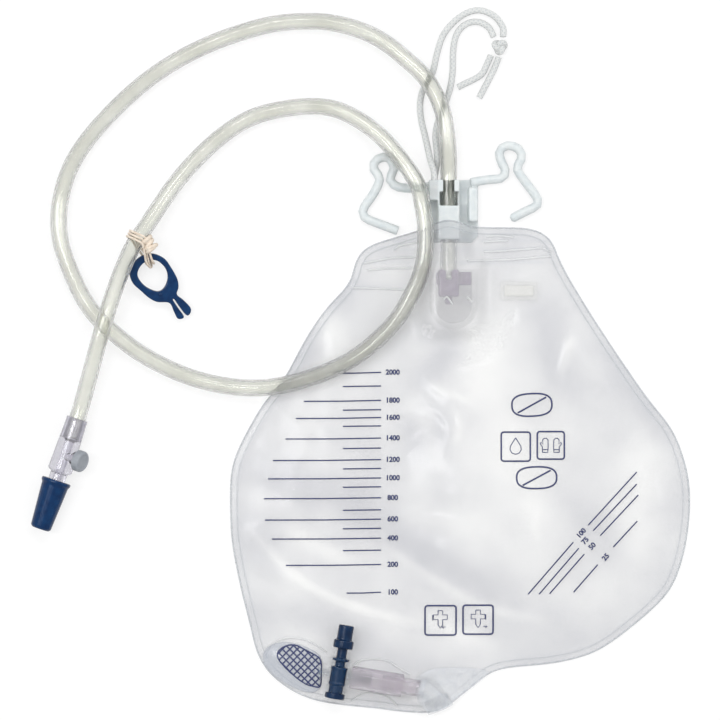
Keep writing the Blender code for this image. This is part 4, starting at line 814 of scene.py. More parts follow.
def film_finish(name, alpha, dull, bright):
    made, tree, shader, coords = fresh_finish(name)
    cloud = noise(tree, coords, 26.0, 4.0, 0.55)
    # Painted shade and painted highlight: the fold bands' attribute, broken up by noise, blends the colour
    # from the darker to the lighter end.
    mark = add(tree, "ShaderNodeAttribute", attribute_name="painted_shading")
    mixed = add(tree, "ShaderNodeMath", operation="ADD")
    tree.links.new(spread(tree, cloud, -0.5, 0.5, 0.2, 0.8), mixed.inputs[0])
    tree.links.new(mark.outputs["Fac"], mixed.inputs[1])
    level = spread(tree, mixed.outputs["Value"], 0.0, 1.0, -1.5, 1.5)
    base = blend_colours(tree, level, dull, bright, 0.0, 1.0, "EASE")
    tree.links.new(turned_by(tree, "weld", base, WELD_COLOUR), shader.inputs["Base Color"])
    tree.links.new(spread(tree, cloud, 0.10, 0.22), shader.inputs["Roughness"])
    shader.inputs["Alpha"].default_value = alpha
    bump(tree, shader, noise(tree, coords, 90.0, 3.0), 0.25, 0.6 * MM)
    return made


# The darker colours are the film's painted shade, the lighter ones its painted highlight.
front_finish = film_finish("front film vinyl", FRONT_ALPHA, (0.43, 0.44, 0.49), (1.0, 1.0, 0.98))
back_finish = film_finish("back film vinyl", BACK_ALPHA, (0.53, 0.54, 0.59), (0.98, 0.98, 0.965))
print("film finishes made")

# %% [markdown]
# ## Finer films
#
# The solids' films are made of large flat triangles, which can't hold a crease. So long edges are halved a
# few times, and the heights are evened out, which takes the facets away and leaves the pillow.

# %% Finer film
FILM_EDGE = 3.0 * MM
FILM_CALM_PASSES = 6
SPLIT_ROUNDS = 4


def fine_film(node, edge_length, passes):
    """A finer copy of a film: long edges are halved a few times, and the heights are evened out."""
    bm = bmesh.new()
    bm.from_mesh(nodes[node].data)
    bmesh.ops.remove_doubles(bm, verts=bm.verts, dist=JOIN_GAP)
    for _ in range(SPLIT_ROUNDS):
        long_edges = [e for e in bm.edges if e.calc_length() > edge_length]
        bmesh.ops.subdivide_edges(bm, edges=long_edges, cuts=1)
        bmesh.ops.triangulate(bm, faces=bm.faces)
    inner = [v for v in bm.verts if all(abs(f.normal.z) > 0.3 for f in v.link_faces)]
    for _ in range(passes):
        bmesh.ops.smooth_vert(bm, verts=inner, factor=0.5, use_axis_z=True)
    mesh = bpy.data.meshes.new(node + "_fine")
    bm.to_mesh(mesh)
    bm.free()
    return mesh


front_mesh = fine_film("front_film", FILM_EDGE, FILM_CALM_PASSES)
print("finer front film:", triangles(front_mesh), "triangles")

# %% Dome and calm places
DOME_SKIRT = 9.0 * MM
DOME_REACH = 24.0 * MM
DOME_RING = 3.0 * MM
DOME_SHOULDER = 0.9 * MM
CALM_BOXES = [(-28, 20, 50, 130), (20, 50, 68, 94), (-140, 10, -180, -122)]
CALM_BLEND = 8


def hug_dome(at):
    """Heights that fall round the drip chamber's half-round end, where the solid's film has corners."""
    low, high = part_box("drip_chamber")
    radius = (high[0] - low[0]) / 2
    middle = ((low[0] + high[0]) / 2, low[1] + radius)
    past = np.hypot(at[:, 0] - middle[0], at[:, 1] - middle[1]) - radius
    shoulder = high[2] + DOME_SHOULDER
    floor = float(np.median(at[:, 2][np.abs(past - DOME_REACH) < DOME_RING]))
    dome = floor + (shoulder - floor) * (1 - smooth_step((past - 1.0 * MM) / DOME_SKIRT))
    below = (at[:, 1] < middle[1]) & (past < DOME_REACH)
    return np.where(below, np.minimum(at[:, 2], np.maximum(dome, floor)), at[:, 2])


def keeps_clear(spots):
    """1 where a film may crease, and 0 where something lies close under or over it."""
    x, y = spots[:, 0] / MM, spots[:, 1] / MM
    share = np.ones(len(spots))
    for x0, x1, y0, y1 in CALM_BOXES:
        out = np.hypot(np.maximum(np.maximum(x0 - x, x - x1), 0), np.maximum(np.maximum(y0 - y, y - y1), 0))
        share = np.minimum(share, smooth_step(out / CALM_BLEND))
    return share


print("calm places:", len(CALM_BOXES))

# %% [markdown]
# ## The front film
#
# Every point of the front film rises by what the creases, the waves and the welds say, and its cut edge
# moves to the eased outline. Two attributes note the painted shade and highlight of the fold bands and the
# welds for the finish. The finished film is kept in a search tree, because the print and the beads are laid on
# it.

# %% Front film
FREE_REACH = 9.0 * MM
EDGE_SHADE = 0.2
EDGE_SHADE_REACH = 14.0 * MM
CUT_BAND = 1.2 * MM
CUT_SHARE = 0.35
RIM_SHARE = 0.5
WELD_GAIN = 2200


# Painted shade and painted highlight of the fold bands, with painted shade near the welded edge, kept as a
# vertex attribute.
def add_tone(mesh, flat, from_edge):
    edge_shade = EDGE_SHADE * np.exp(-((from_edge - FILM_WELD) / EDGE_SHADE_REACH) ** 2)
    mark = mesh.attributes.new("painted_shading", "FLOAT", "POINT")
    mark.data.foreach_set("value", np.tanh(film_tone(flat) - edge_shade))


def shape_film(mesh, calm):
    """Raise a film's points along creases and welds, and note the painted fold shading and the welds in
    attributes for the finish.
    """
    at = np.array([v.co[:] for v in mesh.vertices])
    flat = at[:, :2]
    from_edge = nearest(flat, cut_edge)
    free = smooth_step((from_edge - FILM_WELD) / FREE_REACH) * calm(flat)
    welds = weld_rise(flat)
    rim = np.exp(-((from_edge - FILM_WELD) / RIM_WIDTH) ** 2)
    at[:, 2] = hug_dome(at)
    at[:, 2] += crease_rise(flat) * free + welds + RIM_RIDGE * rim
    at[:, :2] += edge_shift(flat)
    mesh.vertices.foreach_set("co", at.ravel())
    add_tone(mesh, flat, from_edge)
    weld = mesh.attributes.new("weld", "FLOAT", "POINT")
    seam = np.clip(RIM_SHARE * rim + WELD_GAIN * welds + CUT_SHARE * (from_edge < CUT_BAND), 0, 1)
    weld.data.foreach_set("value", seam)
    mesh.shade_smooth()
    return mesh


def surface_tree(meshes):
    """One search tree over the faces of several meshes."""
    places, faces = [], []
    for mesh in meshes:
        start = len(places)
        places += [v.co for v in mesh.vertices]
        faces += [[start + i for i in p.vertices] for p in mesh.polygons]
    return BVHTree.FromPolygons(places, faces)


shape_film(front_mesh, keeps_clear)
new_piece(front_mesh, "front_film_creased", front_finish, stands_for=("front_film",))
front_tree = surface_tree([front_mesh])
print("front film:", triangles(front_mesh), "triangles")

# %% [markdown]
# ## The back film
#
# The back film lies flat on the table and carries no print. It only needs the eased outline, the painted
# shade and highlight of the fold bands and the line of its cut edge.

# %% Back film
BACK_CUT_SHARE = 0.5

back_mesh = fine_film("back_film", FILM_EDGE, 0)
back_flat = np.array([v.co[:2] for v in back_mesh.vertices])
back_from_edge = nearest(back_flat, cut_edge)
add_tone(back_mesh, back_flat, back_from_edge)
back_at = np.array([v.co[:] for v in back_mesh.vertices])
back_at[:, :2] += edge_shift(back_flat)
back_mesh.vertices.foreach_set("co", back_at.ravel())
back_mark = back_mesh.attributes.new("weld", "FLOAT", "POINT")
back_mark.data.foreach_set("value", BACK_CUT_SHARE * (back_from_edge < CUT_BAND))
new_piece(back_mesh, "back_film_sheet", back_finish, stands_for=("back_film",))
print("back film:", triangles(back_mesh), "triangles")

# %% [markdown]
# ## Weld beads
#
# The welding tool squeezes a little vinyl out of the seam. It shows as a thin bead along the cut edge, and
# as a second one where the open bag starts. They are thinner than the film's own triangles, so they are fine
# cords laid on it.

# %% Weld beads
BEAD_D = 0.9 * MM
BEAD_INSET = 0.5 * MM
SEAM_D = 0.7 * MM
BEAD_SINK = 0.3


def film_height(x, y, tree_of_film):
    hit = tree_of_film.ray_cast(Vector((x, y, 0.2)), Vector((0, 0, -1)))
    return hit[0].z if hit[0] else FILM_EDGE_Z


def inset(loop, amount):
    """A closed loop moved inwards."""
    points = np.array(loop)
    along = np.roll(points, -1, axis=0) - np.roll(points, 1, axis=0)
    along /= np.linalg.norm(along, axis=1)[:, None]
    area = (points[:, 0] * np.roll(points[:, 1], -1) - np.roll(points[:, 0], -1) * points[:, 1]).sum()
    side = np.stack([-along[:, 1], along[:, 0]], axis=1) * (1 if area > 0 else -1)
    return points + side * amount


def bead(name, loop, width, finish, tree_of_film):
    """A closed cord along a loop, sunk a little into the film."""
    points = [(x, y, film_height(x, y, tree_of_film) - width * BEAD_SINK) for x, y in loop]
    mesh = frozen(link_plain(name, route_curve(name, points, width / 2, 2, True)))
    mesh.shade_smooth()
    return new_piece(mesh, name, finish)


FILM_EDGE_Z = max(v.co.z for v in back_mesh.vertices) + 0.8 * MM
edge_vinyl = moulding_finish("edge vinyl", (0.50, 0.54, 0.58), (0.68, 0.71, 0.73), 0.25, alpha=0.34)
seam_vinyl = moulding_finish("seam vinyl", (0.60, 0.64, 0.68), (0.82, 0.85, 0.87), 0.2, alpha=0.18)
bead("weld_edge", inset(eased_edge, BEAD_INSET), BEAD_D, edge_vinyl, front_tree)
bead("weld_seam", inset(eased_edge, FILM_WELD), SEAM_D, seam_vinyl, front_tree)
print("weld beads:", len(eased_edge), "points each")

# %% [markdown]
# ## The printed scale
#
# Dark blue ink on the front film shows how much the bag holds: long lines every 200, short ones between, and
# slanted lines at the lower right for a small amount in a tipped bag. Ink follows the film over every
# crease. So each printed line is a thin flat cord whose points lie on the film, found by looking straight
# down on it, and the numbers are text whose points are laid on the film the same way.

# %% Ink
INK_WIDTH = 0.88 * MM
INK_STEP = 2.0 * MM
INK_SINK = 0.32
INK_LIFT = 0.07 * MM
INK_T = 0.05 * MM
FIGURE_SCALE = 1.36
FIGURE_BOLD = 0.17 * MM

ink, tree, shader, coords = fresh_finish("navy ink")
patchy = noise(tree, coords, 900.0, 4.0)
inked = blend_colours(tree, patchy, (0.008, 0.014, 0.075), (0.025, 0.038, 0.14))
tree.links.new(inked, shader.inputs["Base Color"])
tree.links.new(spread(tree, patchy, 0.35, 0.6), shader.inputs["Roughness"])


def ink_lines(name, lines, tree_of_film, width=INK_WIDTH):
    """Flat printed lines: each list of points in millimetres is laid on a film."""
    data = bpy.data.curves.new(name, "CURVE")
    data.dimensions = "3D"
    data.bevel_depth = width / 2
    data.bevel_resolution = 1
    data.use_fill_caps = True
    for line in lines:
        places = []
        for a, b in zip(line, line[1:]):
            pieces = max(1, round(math.dist(a, b) * MM / INK_STEP))
            places += [(a[0] + (b[0] - a[0]) * k / pieces, a[1] + (b[1] - a[1]) * k / pieces)
                       for k in range(pieces)]
        places.append(line[-1])
        spline = data.splines.new("POLY")
        spline.points.add(len(places) - 1)
        for point, (x, y) in zip(spline.points, places):
            height = film_height(x * MM, y * MM, tree_of_film)
            point.co = (x * MM, y * MM, height - width * INK_SINK, 1.0)
    return frozen(link_plain(name, data))


def ink_words(texts, tree_of_film):
    """Printed numbers, each given as text, middle, height and turn, laid on a film."""
    bm = bmesh.new()
    for text, at, height, turn in texts:
        data = bpy.data.curves.new("number", "FONT")
        data.body = text
        data.size = height * FIGURE_SCALE
        data.align_x = "CENTER"
        data.align_y = "CENTER"
        data.offset = FIGURE_BOLD
        data.resolution_u = 4
        mesh = frozen(link_plain("number", data))
        mesh.transform(Matrix.Translation((at[0] * MM, at[1] * MM, 0)) @ Matrix.Rotation(turn, 4, "Z"))
        bm.from_mesh(mesh)
        bpy.data.meshes.remove(mesh)
    for vert in bm.verts:
        vert.co.z = film_height(vert.co.x, vert.co.y, tree_of_film) + INK_LIFT
    bmesh.ops.solidify(bm, geom=bm.faces[:], thickness=INK_T)
    bmesh.ops.recalc_face_normals(bm, faces=bm.faces)
    made = bpy.data.meshes.new("numbers")
    bm.to_mesh(made)
    bm.free()
    return made


# %% [markdown]
# ## Painted highlights on welds and folds
#
# The neck is welded in several short strokes, and the film folds round the drain tube and the pocket. Both
# catch the light as thin bright lines, which are painted highlights: pale lines laid on the film, over real
# welds at the neck. Two short lines more are painted glints on the drip chamber's dome. The film's triangles
# are too coarse for them, so they are laid on it in the same way as the ink, in a pale vinyl that lets most
# of the light through.

# %% Neck welds
# Painted highlight: a pale, mostly clear vinyl for the bright lines on welds and folds.
painted_highlight_vinyl = moulding_finish("bright vinyl", (0.84, 0.86, 0.88), (0.95, 0.96, 0.96), 0.18, alpha=0.42)
NECK_WELD_D = 1.5 * MM
NECK_WELDS = [
    [(-39.6, 105.9), (-36.7, 108.4), (-25.7, 110.4)], [(-57.7, 97.9), (-42.5, 100.9), (-25.7, 101.7)],
    [(-56.0, 93.7), (-42.5, 95.0), (-25.7, 95.0)], [(-64.4, 83.2), (-50.9, 82.8), (-30.7, 81.9)],
    [(15.6, 113.9), (22.9, 114.6), (31.6, 113.5)],
    [(14.3, 104.7), (29.0, 105.5), (49.2, 107.2), (54.3, 104.7)],
    [(4.1, 99.2), (29.0, 100.0), (54.3, 102.1)], [(14.2, 110.6), (21.0, 111.2), (29.0, 111.4)],
]
new_piece(ink_lines("neck_weld_highlights", NECK_WELDS, front_tree, NECK_WELD_D), "neck_weld_highlights", painted_highlight_vinyl)
print("neck welds:", len(NECK_WELDS))

# %% Fold lines
FOLD_HIGHLIGHT_D = 1.2 * MM
PAINTED_FOLD_HIGHLIGHTS = [
    [(-65.1, -145.3), (-61.6, -141.4), (-54.5, -139.6), (-44.0, -140.5), (-36.1, -145.3), (-29.9, -148.8)],
    [(-65.1, -164.6), (-59.8, -160.7), (-52.8, -159.4), (-45.7, -161.2), (-40.4, -164.6), (-37.8, -167.8)],
    [(-115.7, -139.1), (-115.3, -133.9), (-110.9, -129.5), (-103.0, -126.8), (-94.1, -127.7),
     (-86.2, -131.2), (-80.1, -135.6)],
    # The last two lines are painted glints on the drip chamber's dome.
    [(-10.1, 75.6), (-8.0, 77.7), (-4.7, 73.1)], [(4.2, 77.7), (7.1, 74.3)],
]
folds = []
for line in PAINTED_FOLD_HIGHLIGHTS:
    smooth, _ = smooth_route([(x, y, 0) for x, y in line], 1.5 * MM)
    folds.append([(p.x / MM, p.y / MM) for p in smooth])
new_piece(ink_lines("painted_fold_highlights", folds, front_tree, FOLD_HIGHLIGHT_D), "painted_fold_highlights", painted_highlight_vinyl)
print("fold lines:", len(folds))

# %% Volume scale
SCALE_RIGHT = -47.4
NUMBER_X = -40.4
NUMBER_TALL = 3.1 * MM
LONG_MARKS = [
    (2000, 32.5, -79.2), (1800, 15.7, -93.6), (1600, 5.4, -98.4), (1400, -6.9, -104.7),
    (1200, -19.8, -112.2), (1000, -30.8, -115.2), (800, -42.7, -117.6), (600, -55.5, -117.0),
    (400, -66.9, -112.8), (200, -82.7, -104.4), (100, -99.3, -68.0),
]
SHORT_MARKS = [24.3, 10.1, 0.4, -12.9, -25.1, -36.1, -49.9, -61.0, -74.1]
SHORT_LEFT = -70.2

marks = [[(left, y - 0.6), ((left + SCALE_RIGHT) / 2, y - 0.5), (SCALE_RIGHT, y)]
         for _, y, left in LONG_MARKS]
marks += [[(SHORT_LEFT, y - 0.3), (SCALE_RIGHT, y)] for y in SHORT_MARKS]
scale_mesh = ink_lines("printed_scale", marks, front_tree)
new_piece(scale_mesh, "printed_scale", ink)
numbers = [(str(volume), (NUMBER_X, y), NUMBER_TALL, 0.0) for volume, y, _ in LONG_MARKS]
new_piece(ink_words(numbers, front_tree), "printed_numbers", ink)
print("scale lines:", len(marks), "numbers:", len(numbers))

# %% [markdown]
# ## The slanted scale
#
# When the bag is tipped on to its lower corner, a small amount gathers there, and its level runs at a slant
# to the film. So small amounts have lines of their own, each in two stretches with its number between.

# %% Slanted scale
SLANT_TURN = math.radians(48)
SLANT = [
    (100, [(40.8, -100.5), (67.8, -69.3)], (72.6, -63.9), [(76.8, -59.1), (105.9, -27.3)]),
    (75, [(47.4, -100.5), (71.1, -72.9)], (75.0, -68.4), [(79.8, -62.4), (105.9, -34.5)]),
    (50, [(53.7, -100.2), (74.4, -76.5)], (79.2, -71.7), [(84.0, -65.4), (106.8, -41.1)]),
    (25, [(68.1, -99.3), (82.5, -82.8)], (87.3, -78.3), [(91.8, -72.3), (106.2, -56.7)]),
]
slanted = [line for _, lower, _, upper in SLANT for line in (lower, upper)]
new_piece(ink_lines("printed_slanted_scale", slanted, front_tree), "printed_slanted_scale", ink)
slanted_numbers = [(str(volume), at, NUMBER_TALL, SLANT_TURN) for volume, _, at, _ in SLANT]
new_piece(ink_words(slanted_numbers, front_tree), "printed_slanted_numbers", ink)
print("slanted lines:", len(slanted))

# %% [markdown]
# ## Signs of our own
#
# Simple signs help to read a bag at a glance. Two ovals and two small squares sit in the right half, and two
# squares with the slide tap, shut and open, sit above the real tap. They are plain outlines drawn with a few
# points each: a drop, a mitten, and a tap with its plunger and an arrow.

# %% Signs
def oval(x, y, wide, tall, turn=0.0, count=36):
    c, s = math.cos(turn), math.sin(turn)
    found = []
    for k in range(count + 1):
        angle = 2 * math.pi * k / count
        a = wide / 2 * math.copysign(abs(math.cos(angle)) ** 0.75, math.cos(angle))
        b = tall / 2 * math.copysign(abs(math.sin(angle)) ** 0.75, math.sin(angle))
        found.append((x + a * c - b * s, y + a * s + b * c))
    return found


def rounded_square(x0, x1, y0, y1, corner=1.6):
    found = []
    for cx, cy, start in ((x1 - corner, y1 - corner, 0), (x0 + corner, y1 - corner, 90),
                          (x0 + corner, y0 + corner, 180), (x1 - corner, y0 + corner, 270)):
        for k in range(5):
            angle = math.radians(start + 22.5 * k)
            found.append((cx + corner * math.cos(angle), cy + corner * math.sin(angle)))
    return found + found[:1]


def moved(shape, x, y, size=1.0, flip=1.0):
    return [(x + flip * size * a, y + size * b) for a, b in shape]


FRAME_LINE_D = 1.15 * MM
SIGN_LINE_D = 0.62 * MM
DROP = [(0, 4.4), (1.4, 2.2), (2.6, 0.2), (2.8, -1.6), (1.8, -3.2), (0, -3.8), (-1.8, -3.2), (-2.8, -1.6),
        (-2.6, 0.2), (-1.4, 2.2), (0, 4.4)]
MITTEN = [(-1.6, -4.2), (-1.6, -1.0), (-3.0, 1.0), (-2.4, 1.8), (-1.3, 0.6), (-1.5, 3.2), (-0.6, 4.2),
          (0.8, 4.2), (1.7, 3.2), (1.8, -1.0), (1.6, -4.2), (-1.6, -4.2)]
CUFF = [(-1.7, -2.6), (1.7, -2.6)]
TAP_SIGN = [(-1.2, 5.2), (1.2, 5.2), (1.2, 3.0), (3.6, 3.0), (3.6, 0.6), (1.2, 0.6), (1.2, -2.2), (0, -4.0),
            (-1.2, -2.2), (-1.2, 0.6), (-3.6, 0.6), (-3.6, 3.0), (-1.2, 3.0), (-1.2, 5.2)]
ARROW = [(0, -1.2), (2.2, -1.2), (1.2, -0.4), (2.2, -1.2), (1.2, -2.0)]
BAR = [(-4.6, 3.4), (-4.6, 0.2)]

bold = [oval(43, 13, 24, 13.5, 0.05), [(34.5, 8.2), (51.5, 17.6)], oval(45.8, -30.6, 24, 13, 0.02),
        [(37.4, -35.2), (54.2, -26.2)], rounded_square(24.6, 42.0, -20.7, -3.3),
        rounded_square(46.2, 62.4, -19.5, -3.0), rounded_square(-21.0, -2.4, -125.1, -107.4),
        rounded_square(1.8, 19.8, -124.5, -107.1)]
thin = [moved(DROP, 33.2, -12.0, 1.2), moved(MITTEN, 50.9, -11.2, 1.0), moved(CUFF, 50.9, -11.2, 1.0),
        moved(MITTEN, 57.8, -11.2, 1.0, -1.0), moved(CUFF, 57.8, -11.2, 1.0, -1.0),
        moved(TAP_SIGN, -11.8, -116.4, 1.15), moved(ARROW, -8.6, -119.0, 1.0, -1.0),
        moved(BAR, -11.8, -116.4, 1.0),
        moved(TAP_SIGN, 10.8, -116.0, 1.15), moved(ARROW, 14.0, -118.6), moved(BAR, 10.8, -116.0, 1.0, -1.0)]
for name, lines, width in (("printed_frames", bold, FRAME_LINE_D), ("printed_signs", thin, SIGN_LINE_D)):
    new_piece(ink_lines(name, lines, front_tree, width), name, ink)
print("signs:", len(bold) + len(thin), "outlines")

# %% [markdown]
# ## Outlet pocket
#
# A patch of film at the lower left holds the tap's outlet. Its printed grid lies in slanted lines about 3 mm
# apart, and each line stops where it meets the print's own outline.

# %% Pocket
POCKET_CALM_PASSES = 3

pocket_finish = film_finish("pocket vinyl", 0.30, (0.50, 0.54, 0.62), (0.64, 0.68, 0.75))
pocket_mesh = fine_film("outlet_pocket", FILM_EDGE, POCKET_CALM_PASSES)
pocket_mesh.shade_smooth()
new_piece(pocket_mesh, "outlet_pocket_film", pocket_finish, stands_for=("outlet_pocket",))
pocket_tree = surface_tree([pocket_mesh, front_mesh])

GRID_EDGE = [
    (-109.6, -137.4), (-108.8, -134.6), (-105.6, -132.1), (-101.6, -131.0), (-97.7, -131.4), (-93.3, -133.7),
    (-88.0, -136.5), (-84.5, -138.7), (-83.3, -142.2), (-83.3, -148.8), (-84.0, -155.9), (-88.0, -155.7),
    (-92.4, -154.4), (-98.6, -150.1), (-103.9, -145.3), (-108.2, -140.5), (-109.6, -137.4),
]
GRID_GAP = 3.1
GRID_LINE_D = 1.05 * MM
GRID_MIDDLE = (-95.5, -144.5)
GRID_TURN = math.radians(45)
GRID_HALF_COUNT = 9


def crossings(edge, x, y, turn):
    """Where a straight line through a place crosses a closed outline, in order along the line."""
    ax, ay = math.cos(turn), math.sin(turn)
    found = []
    for (x0, y0), (x1, y1) in zip(edge, edge[1:]):
        s0 = (x0 - x) * ay - (y0 - y) * ax
        s1 = (x1 - x) * ay - (y1 - y) * ax
        if (s0 > 0) != (s1 > 0):
            share = s0 / (s0 - s1)
            cx, cy = x0 + (x1 - x0) * share, y0 + (y1 - y0) * share
            found.append(((cx - x) * ax + (cy - y) * ay, (cx, cy)))
    return [place for _, place in sorted(found)]


smooth_edge, _ = smooth_route([(x, y, 0) for x, y in GRID_EDGE], 1.5 * MM)
grid_edge = [(p.x / MM, p.y / MM) for p in smooth_edge]
grid = [grid_edge]
for turn in (GRID_TURN, GRID_TURN + math.pi / 2):
    for k in range(-GRID_HALF_COUNT, GRID_HALF_COUNT + 1):
        x = GRID_MIDDLE[0] - math.sin(turn) * GRID_GAP * k
        y = GRID_MIDDLE[1] + math.cos(turn) * GRID_GAP * k
        hits = crossings(grid_edge, x, y, turn)
        grid += [[a, b] for a, b in zip(hits[::2], hits[1::2])]
new_piece(ink_lines("printed_grid", grid, pocket_tree, GRID_LINE_D), "printed_grid", ink)
print("pocket grid lines:", len(grid))

# %% [markdown]
# ## Moulded parts
#
# A moulding has no sharp edges, and its skin is even. A Remesh modifier in voxel mode cuts each solid into
# small even cells, and a few rounds of smoothing then soften every edge, also those that the booleans left.
# The cells are smaller than the walls of their own piece, so that no wall breaks through.

# %% Moulded pieces
SIDE_SHADE_POWER = 3


def moulded(node, finish, voxel, rounds, body=ROOT, shape=None):
    maker = link_plain(node + "_moulded", shape or merged_copy(node))
    even = maker.modifiers.new("even", "REMESH")
    even.mode = "VOXEL"
    even.voxel_size = voxel
    soft = maker.modifiers.new("soft", "SMOOTH")
    soft.factor = 0.5
    soft.iterations = rounds
    mesh = frozen(maker)
    mesh.shade_smooth()
    mark_flanks(mesh, SIDE_SHADE_POWER)
    made = new_piece(mesh, node + "_moulded", finish, body, (node,))
    print(node, triangles(mesh), "triangles")
    return made


white_moulding = moulding_finish("white moulding", (0.55, 0.595, 0.61), (0.64, 0.67, 0.67), 0.38)
milky = white_moulding.node_tree.nodes["Principled BSDF"]
milky.inputs["Subsurface Weight"].default_value = 0.35
milky.inputs["Subsurface Radius"].default_value = (1.0, 1.0, 1.0)
milky.inputs["Subsurface Scale"].default_value = 3.0 * MM
moulded("hanger", white_moulding, 0.42 * MM, 5)

# %% [markdown]
# ## The sheet clip
#
# The blue clip pinches a fold of the bed sheet between two flat legs, and its ring is the spring. It is a
# flat moulding of one thickness, so it could be cut from a plate. Here both outlines are smooth closed
# routes, filled between, raised to the clip's thickness, and tilted up a little, because the band holds the
# ring off the table. Remesh then rounds its edges like those of every moulding.

# %% Blue mouldings
# Painted shade: the blue mouldings turn darker navy on their upright sides.
blue_moulding = moulding_finish("blue moulding", (0.001, 0.018, 0.070), (0.002, 0.034, 0.112), 0.22,
                                gloss=0.25, painted_side_shade=(0.001, 0.010, 0.045))
CLIP_OUTLINE = [
    (-184.8, 104.2), (-177.6, 101.2), (-173.2, 95.4), (-169.8, 89.1), (-169.0, 84.0), (-170.0, 79.6),
    (-166.2, 76.3), (-162.0, 71.9), (-161.6, 69.2), (-163.2, 66.9), (-165.2, 67.9), (-168.6, 72.3),
    (-171.8, 76.9), (-172.5, 76.5), (-169.3, 71.5), (-166.3, 67.4), (-165.8, 65.7), (-167.6, 64.8),
    (-169.8, 65.3), (-171.8, 69.2), (-174.6, 74.5), (-181.8, 75.1), (-186.8, 77.6), (-191.6, 81.8),
    (-196.4, 86.4), (-198.4, 92.2), (-196.8, 97.6), (-191.8, 102.4),
]
CLIP_HOLE = [
    (-187.0, 100.2), (-191.8, 96.6), (-193.6, 91.4), (-190.8, 86.3), (-186.2, 82.9), (-180.9, 81.5),
    (-177.4, 84.2), (-175.6, 89.7), (-176.9, 95.2), (-181.4, 99.6),
]
CLIP_T = 5.0 * MM
CLIP_TILT = math.radians(6.3)
CLIP_PIVOT = (-165.5 * MM, 66.5 * MM)
CLIP_REACH = Vector((-0.59, 0.81, 0.0)).normalized()
CLIP_FLOOR = 0.3 * MM


def closed_route(points, step):
    """Even points on a smooth closed curve: the open curve is run over its start and cut there."""
    around, _ = smooth_route([(x, y, 0) for x, y in points[-3:] + points + points[:4]], step)
    half_way = len(around) // 2
    first = min(range(half_way), key=lambda k: (around[k] - Vector((*points[0], 0)) * MM).length)
    start = around[first]
    last = min(range(half_way, len(around)), key=lambda k: (around[k] - start).length)
    return around[first:last]


def clip_solid():
    """The clip's outline with its ring, filled, given its thickness and tilted up at the ring."""
    bm = bmesh.new()
    for points in (CLIP_OUTLINE, CLIP_HOLE):
        loop = [bm.verts.new(p) for p in closed_route(points, 0.9 * MM)]
        for a, b in zip(loop, loop[1:] + loop[:1]):
            bm.edges.new((a, b))
    bmesh.ops.triangle_fill(bm, use_beauty=True, edges=bm.edges[:])
    raised = bmesh.ops.extrude_face_region(bm, geom=bm.faces[:])
    upper = [v for v in raised["geom"] if isinstance(v, bmesh.types.BMVert)]
    bmesh.ops.translate(bm, vec=(0, 0, CLIP_T), verts=upper)
    bmesh.ops.recalc_face_normals(bm, faces=bm.faces)
    tilt = Matrix.Rotation(CLIP_TILT, 4, CLIP_REACH.cross(Vector((0, 0, 1))))
    home = Matrix.Translation((-CLIP_PIVOT[0], -CLIP_PIVOT[1], 0))
    place = Matrix.Translation((*CLIP_PIVOT, CLIP_FLOOR)) @ tilt @ home
    bmesh.ops.transform(bm, matrix=place, verts=bm.verts)
    mesh = bpy.data.meshes.new("clip_solid")
    bm.to_mesh(mesh)
    bm.free()
    return mesh


clip = moulded("sheet_clip", blue_moulding, 0.30 * MM, 8, shape=clip_solid())
low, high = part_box("sheet_clip")
print("clip from", [round(v / MM, 1) for v in low], "to", [round(v / MM, 1) for v in high])
print("and ours", [round(min(v.co[k] for v in clip.data.vertices) / MM, 1) for k in range(3)],
      [round(max(v.co[k] for v in clip.data.vertices) / MM, 1) for k in range(3)])

# %% [markdown]
# ## The pieces that move
#
# The cap pulls off its nozzle, and the plunger slides through the tap's body. Each rides on its own body, so
# that a joint can move it. A small nub on the clip is one of its own, a flattened ball that sits on its top.

# %% Cap and plunger
cap = moulded("protective_cap", blue_moulding, 0.32 * MM, 8, "cap")
# Painted shade: the plunger turns darker on its upright sides.
plunger_blue = moulding_finish("plunger blue", (0.001, 0.012, 0.042), (0.002, 0.022, 0.070), 0.18,
                               gloss=0.30, painted_side_shade=(0.001, 0.006, 0.022))
moulded("tap_plunger", plunger_blue, 0.25 * MM, 5, "plunger")

# %% Clip nub
NUB_AT = (-179.6 * MM, 79.3 * MM)
NUB_R = 1.2 * MM

nub_bm = bmesh.new()
nub_height = film_height(*NUB_AT, surface_tree([clip.data]))
bmesh.ops.create_uvsphere(nub_bm, u_segments=24, v_segments=12, radius=NUB_R)
bmesh.ops.scale(nub_bm, vec=(1.0, 1.0, 0.55), verts=nub_bm.verts)
bmesh.ops.translate(nub_bm, vec=(*NUB_AT, nub_height), verts=nub_bm.verts)
nub_mesh = bpy.data.meshes.new("clip_nub")
nub_bm.to_mesh(nub_mesh)
nub_bm.free()
nub_mesh.shade_smooth()
nub = new_piece(nub_mesh, "clip_nub", blue_moulding)
print("nub at", round(nub_height / MM, 2), "mm")

# %% [markdown]
# ## Clear and soft vinyl
#
# Rigid clear pieces are glassy and turn dark through their upright walls, and soft vinyl is milkier; most of
# these finishes also paint shade on the upright walls. The chamber's dome and the tap's body get a low alpha
# instead, so that what lies in them stays in plain view.

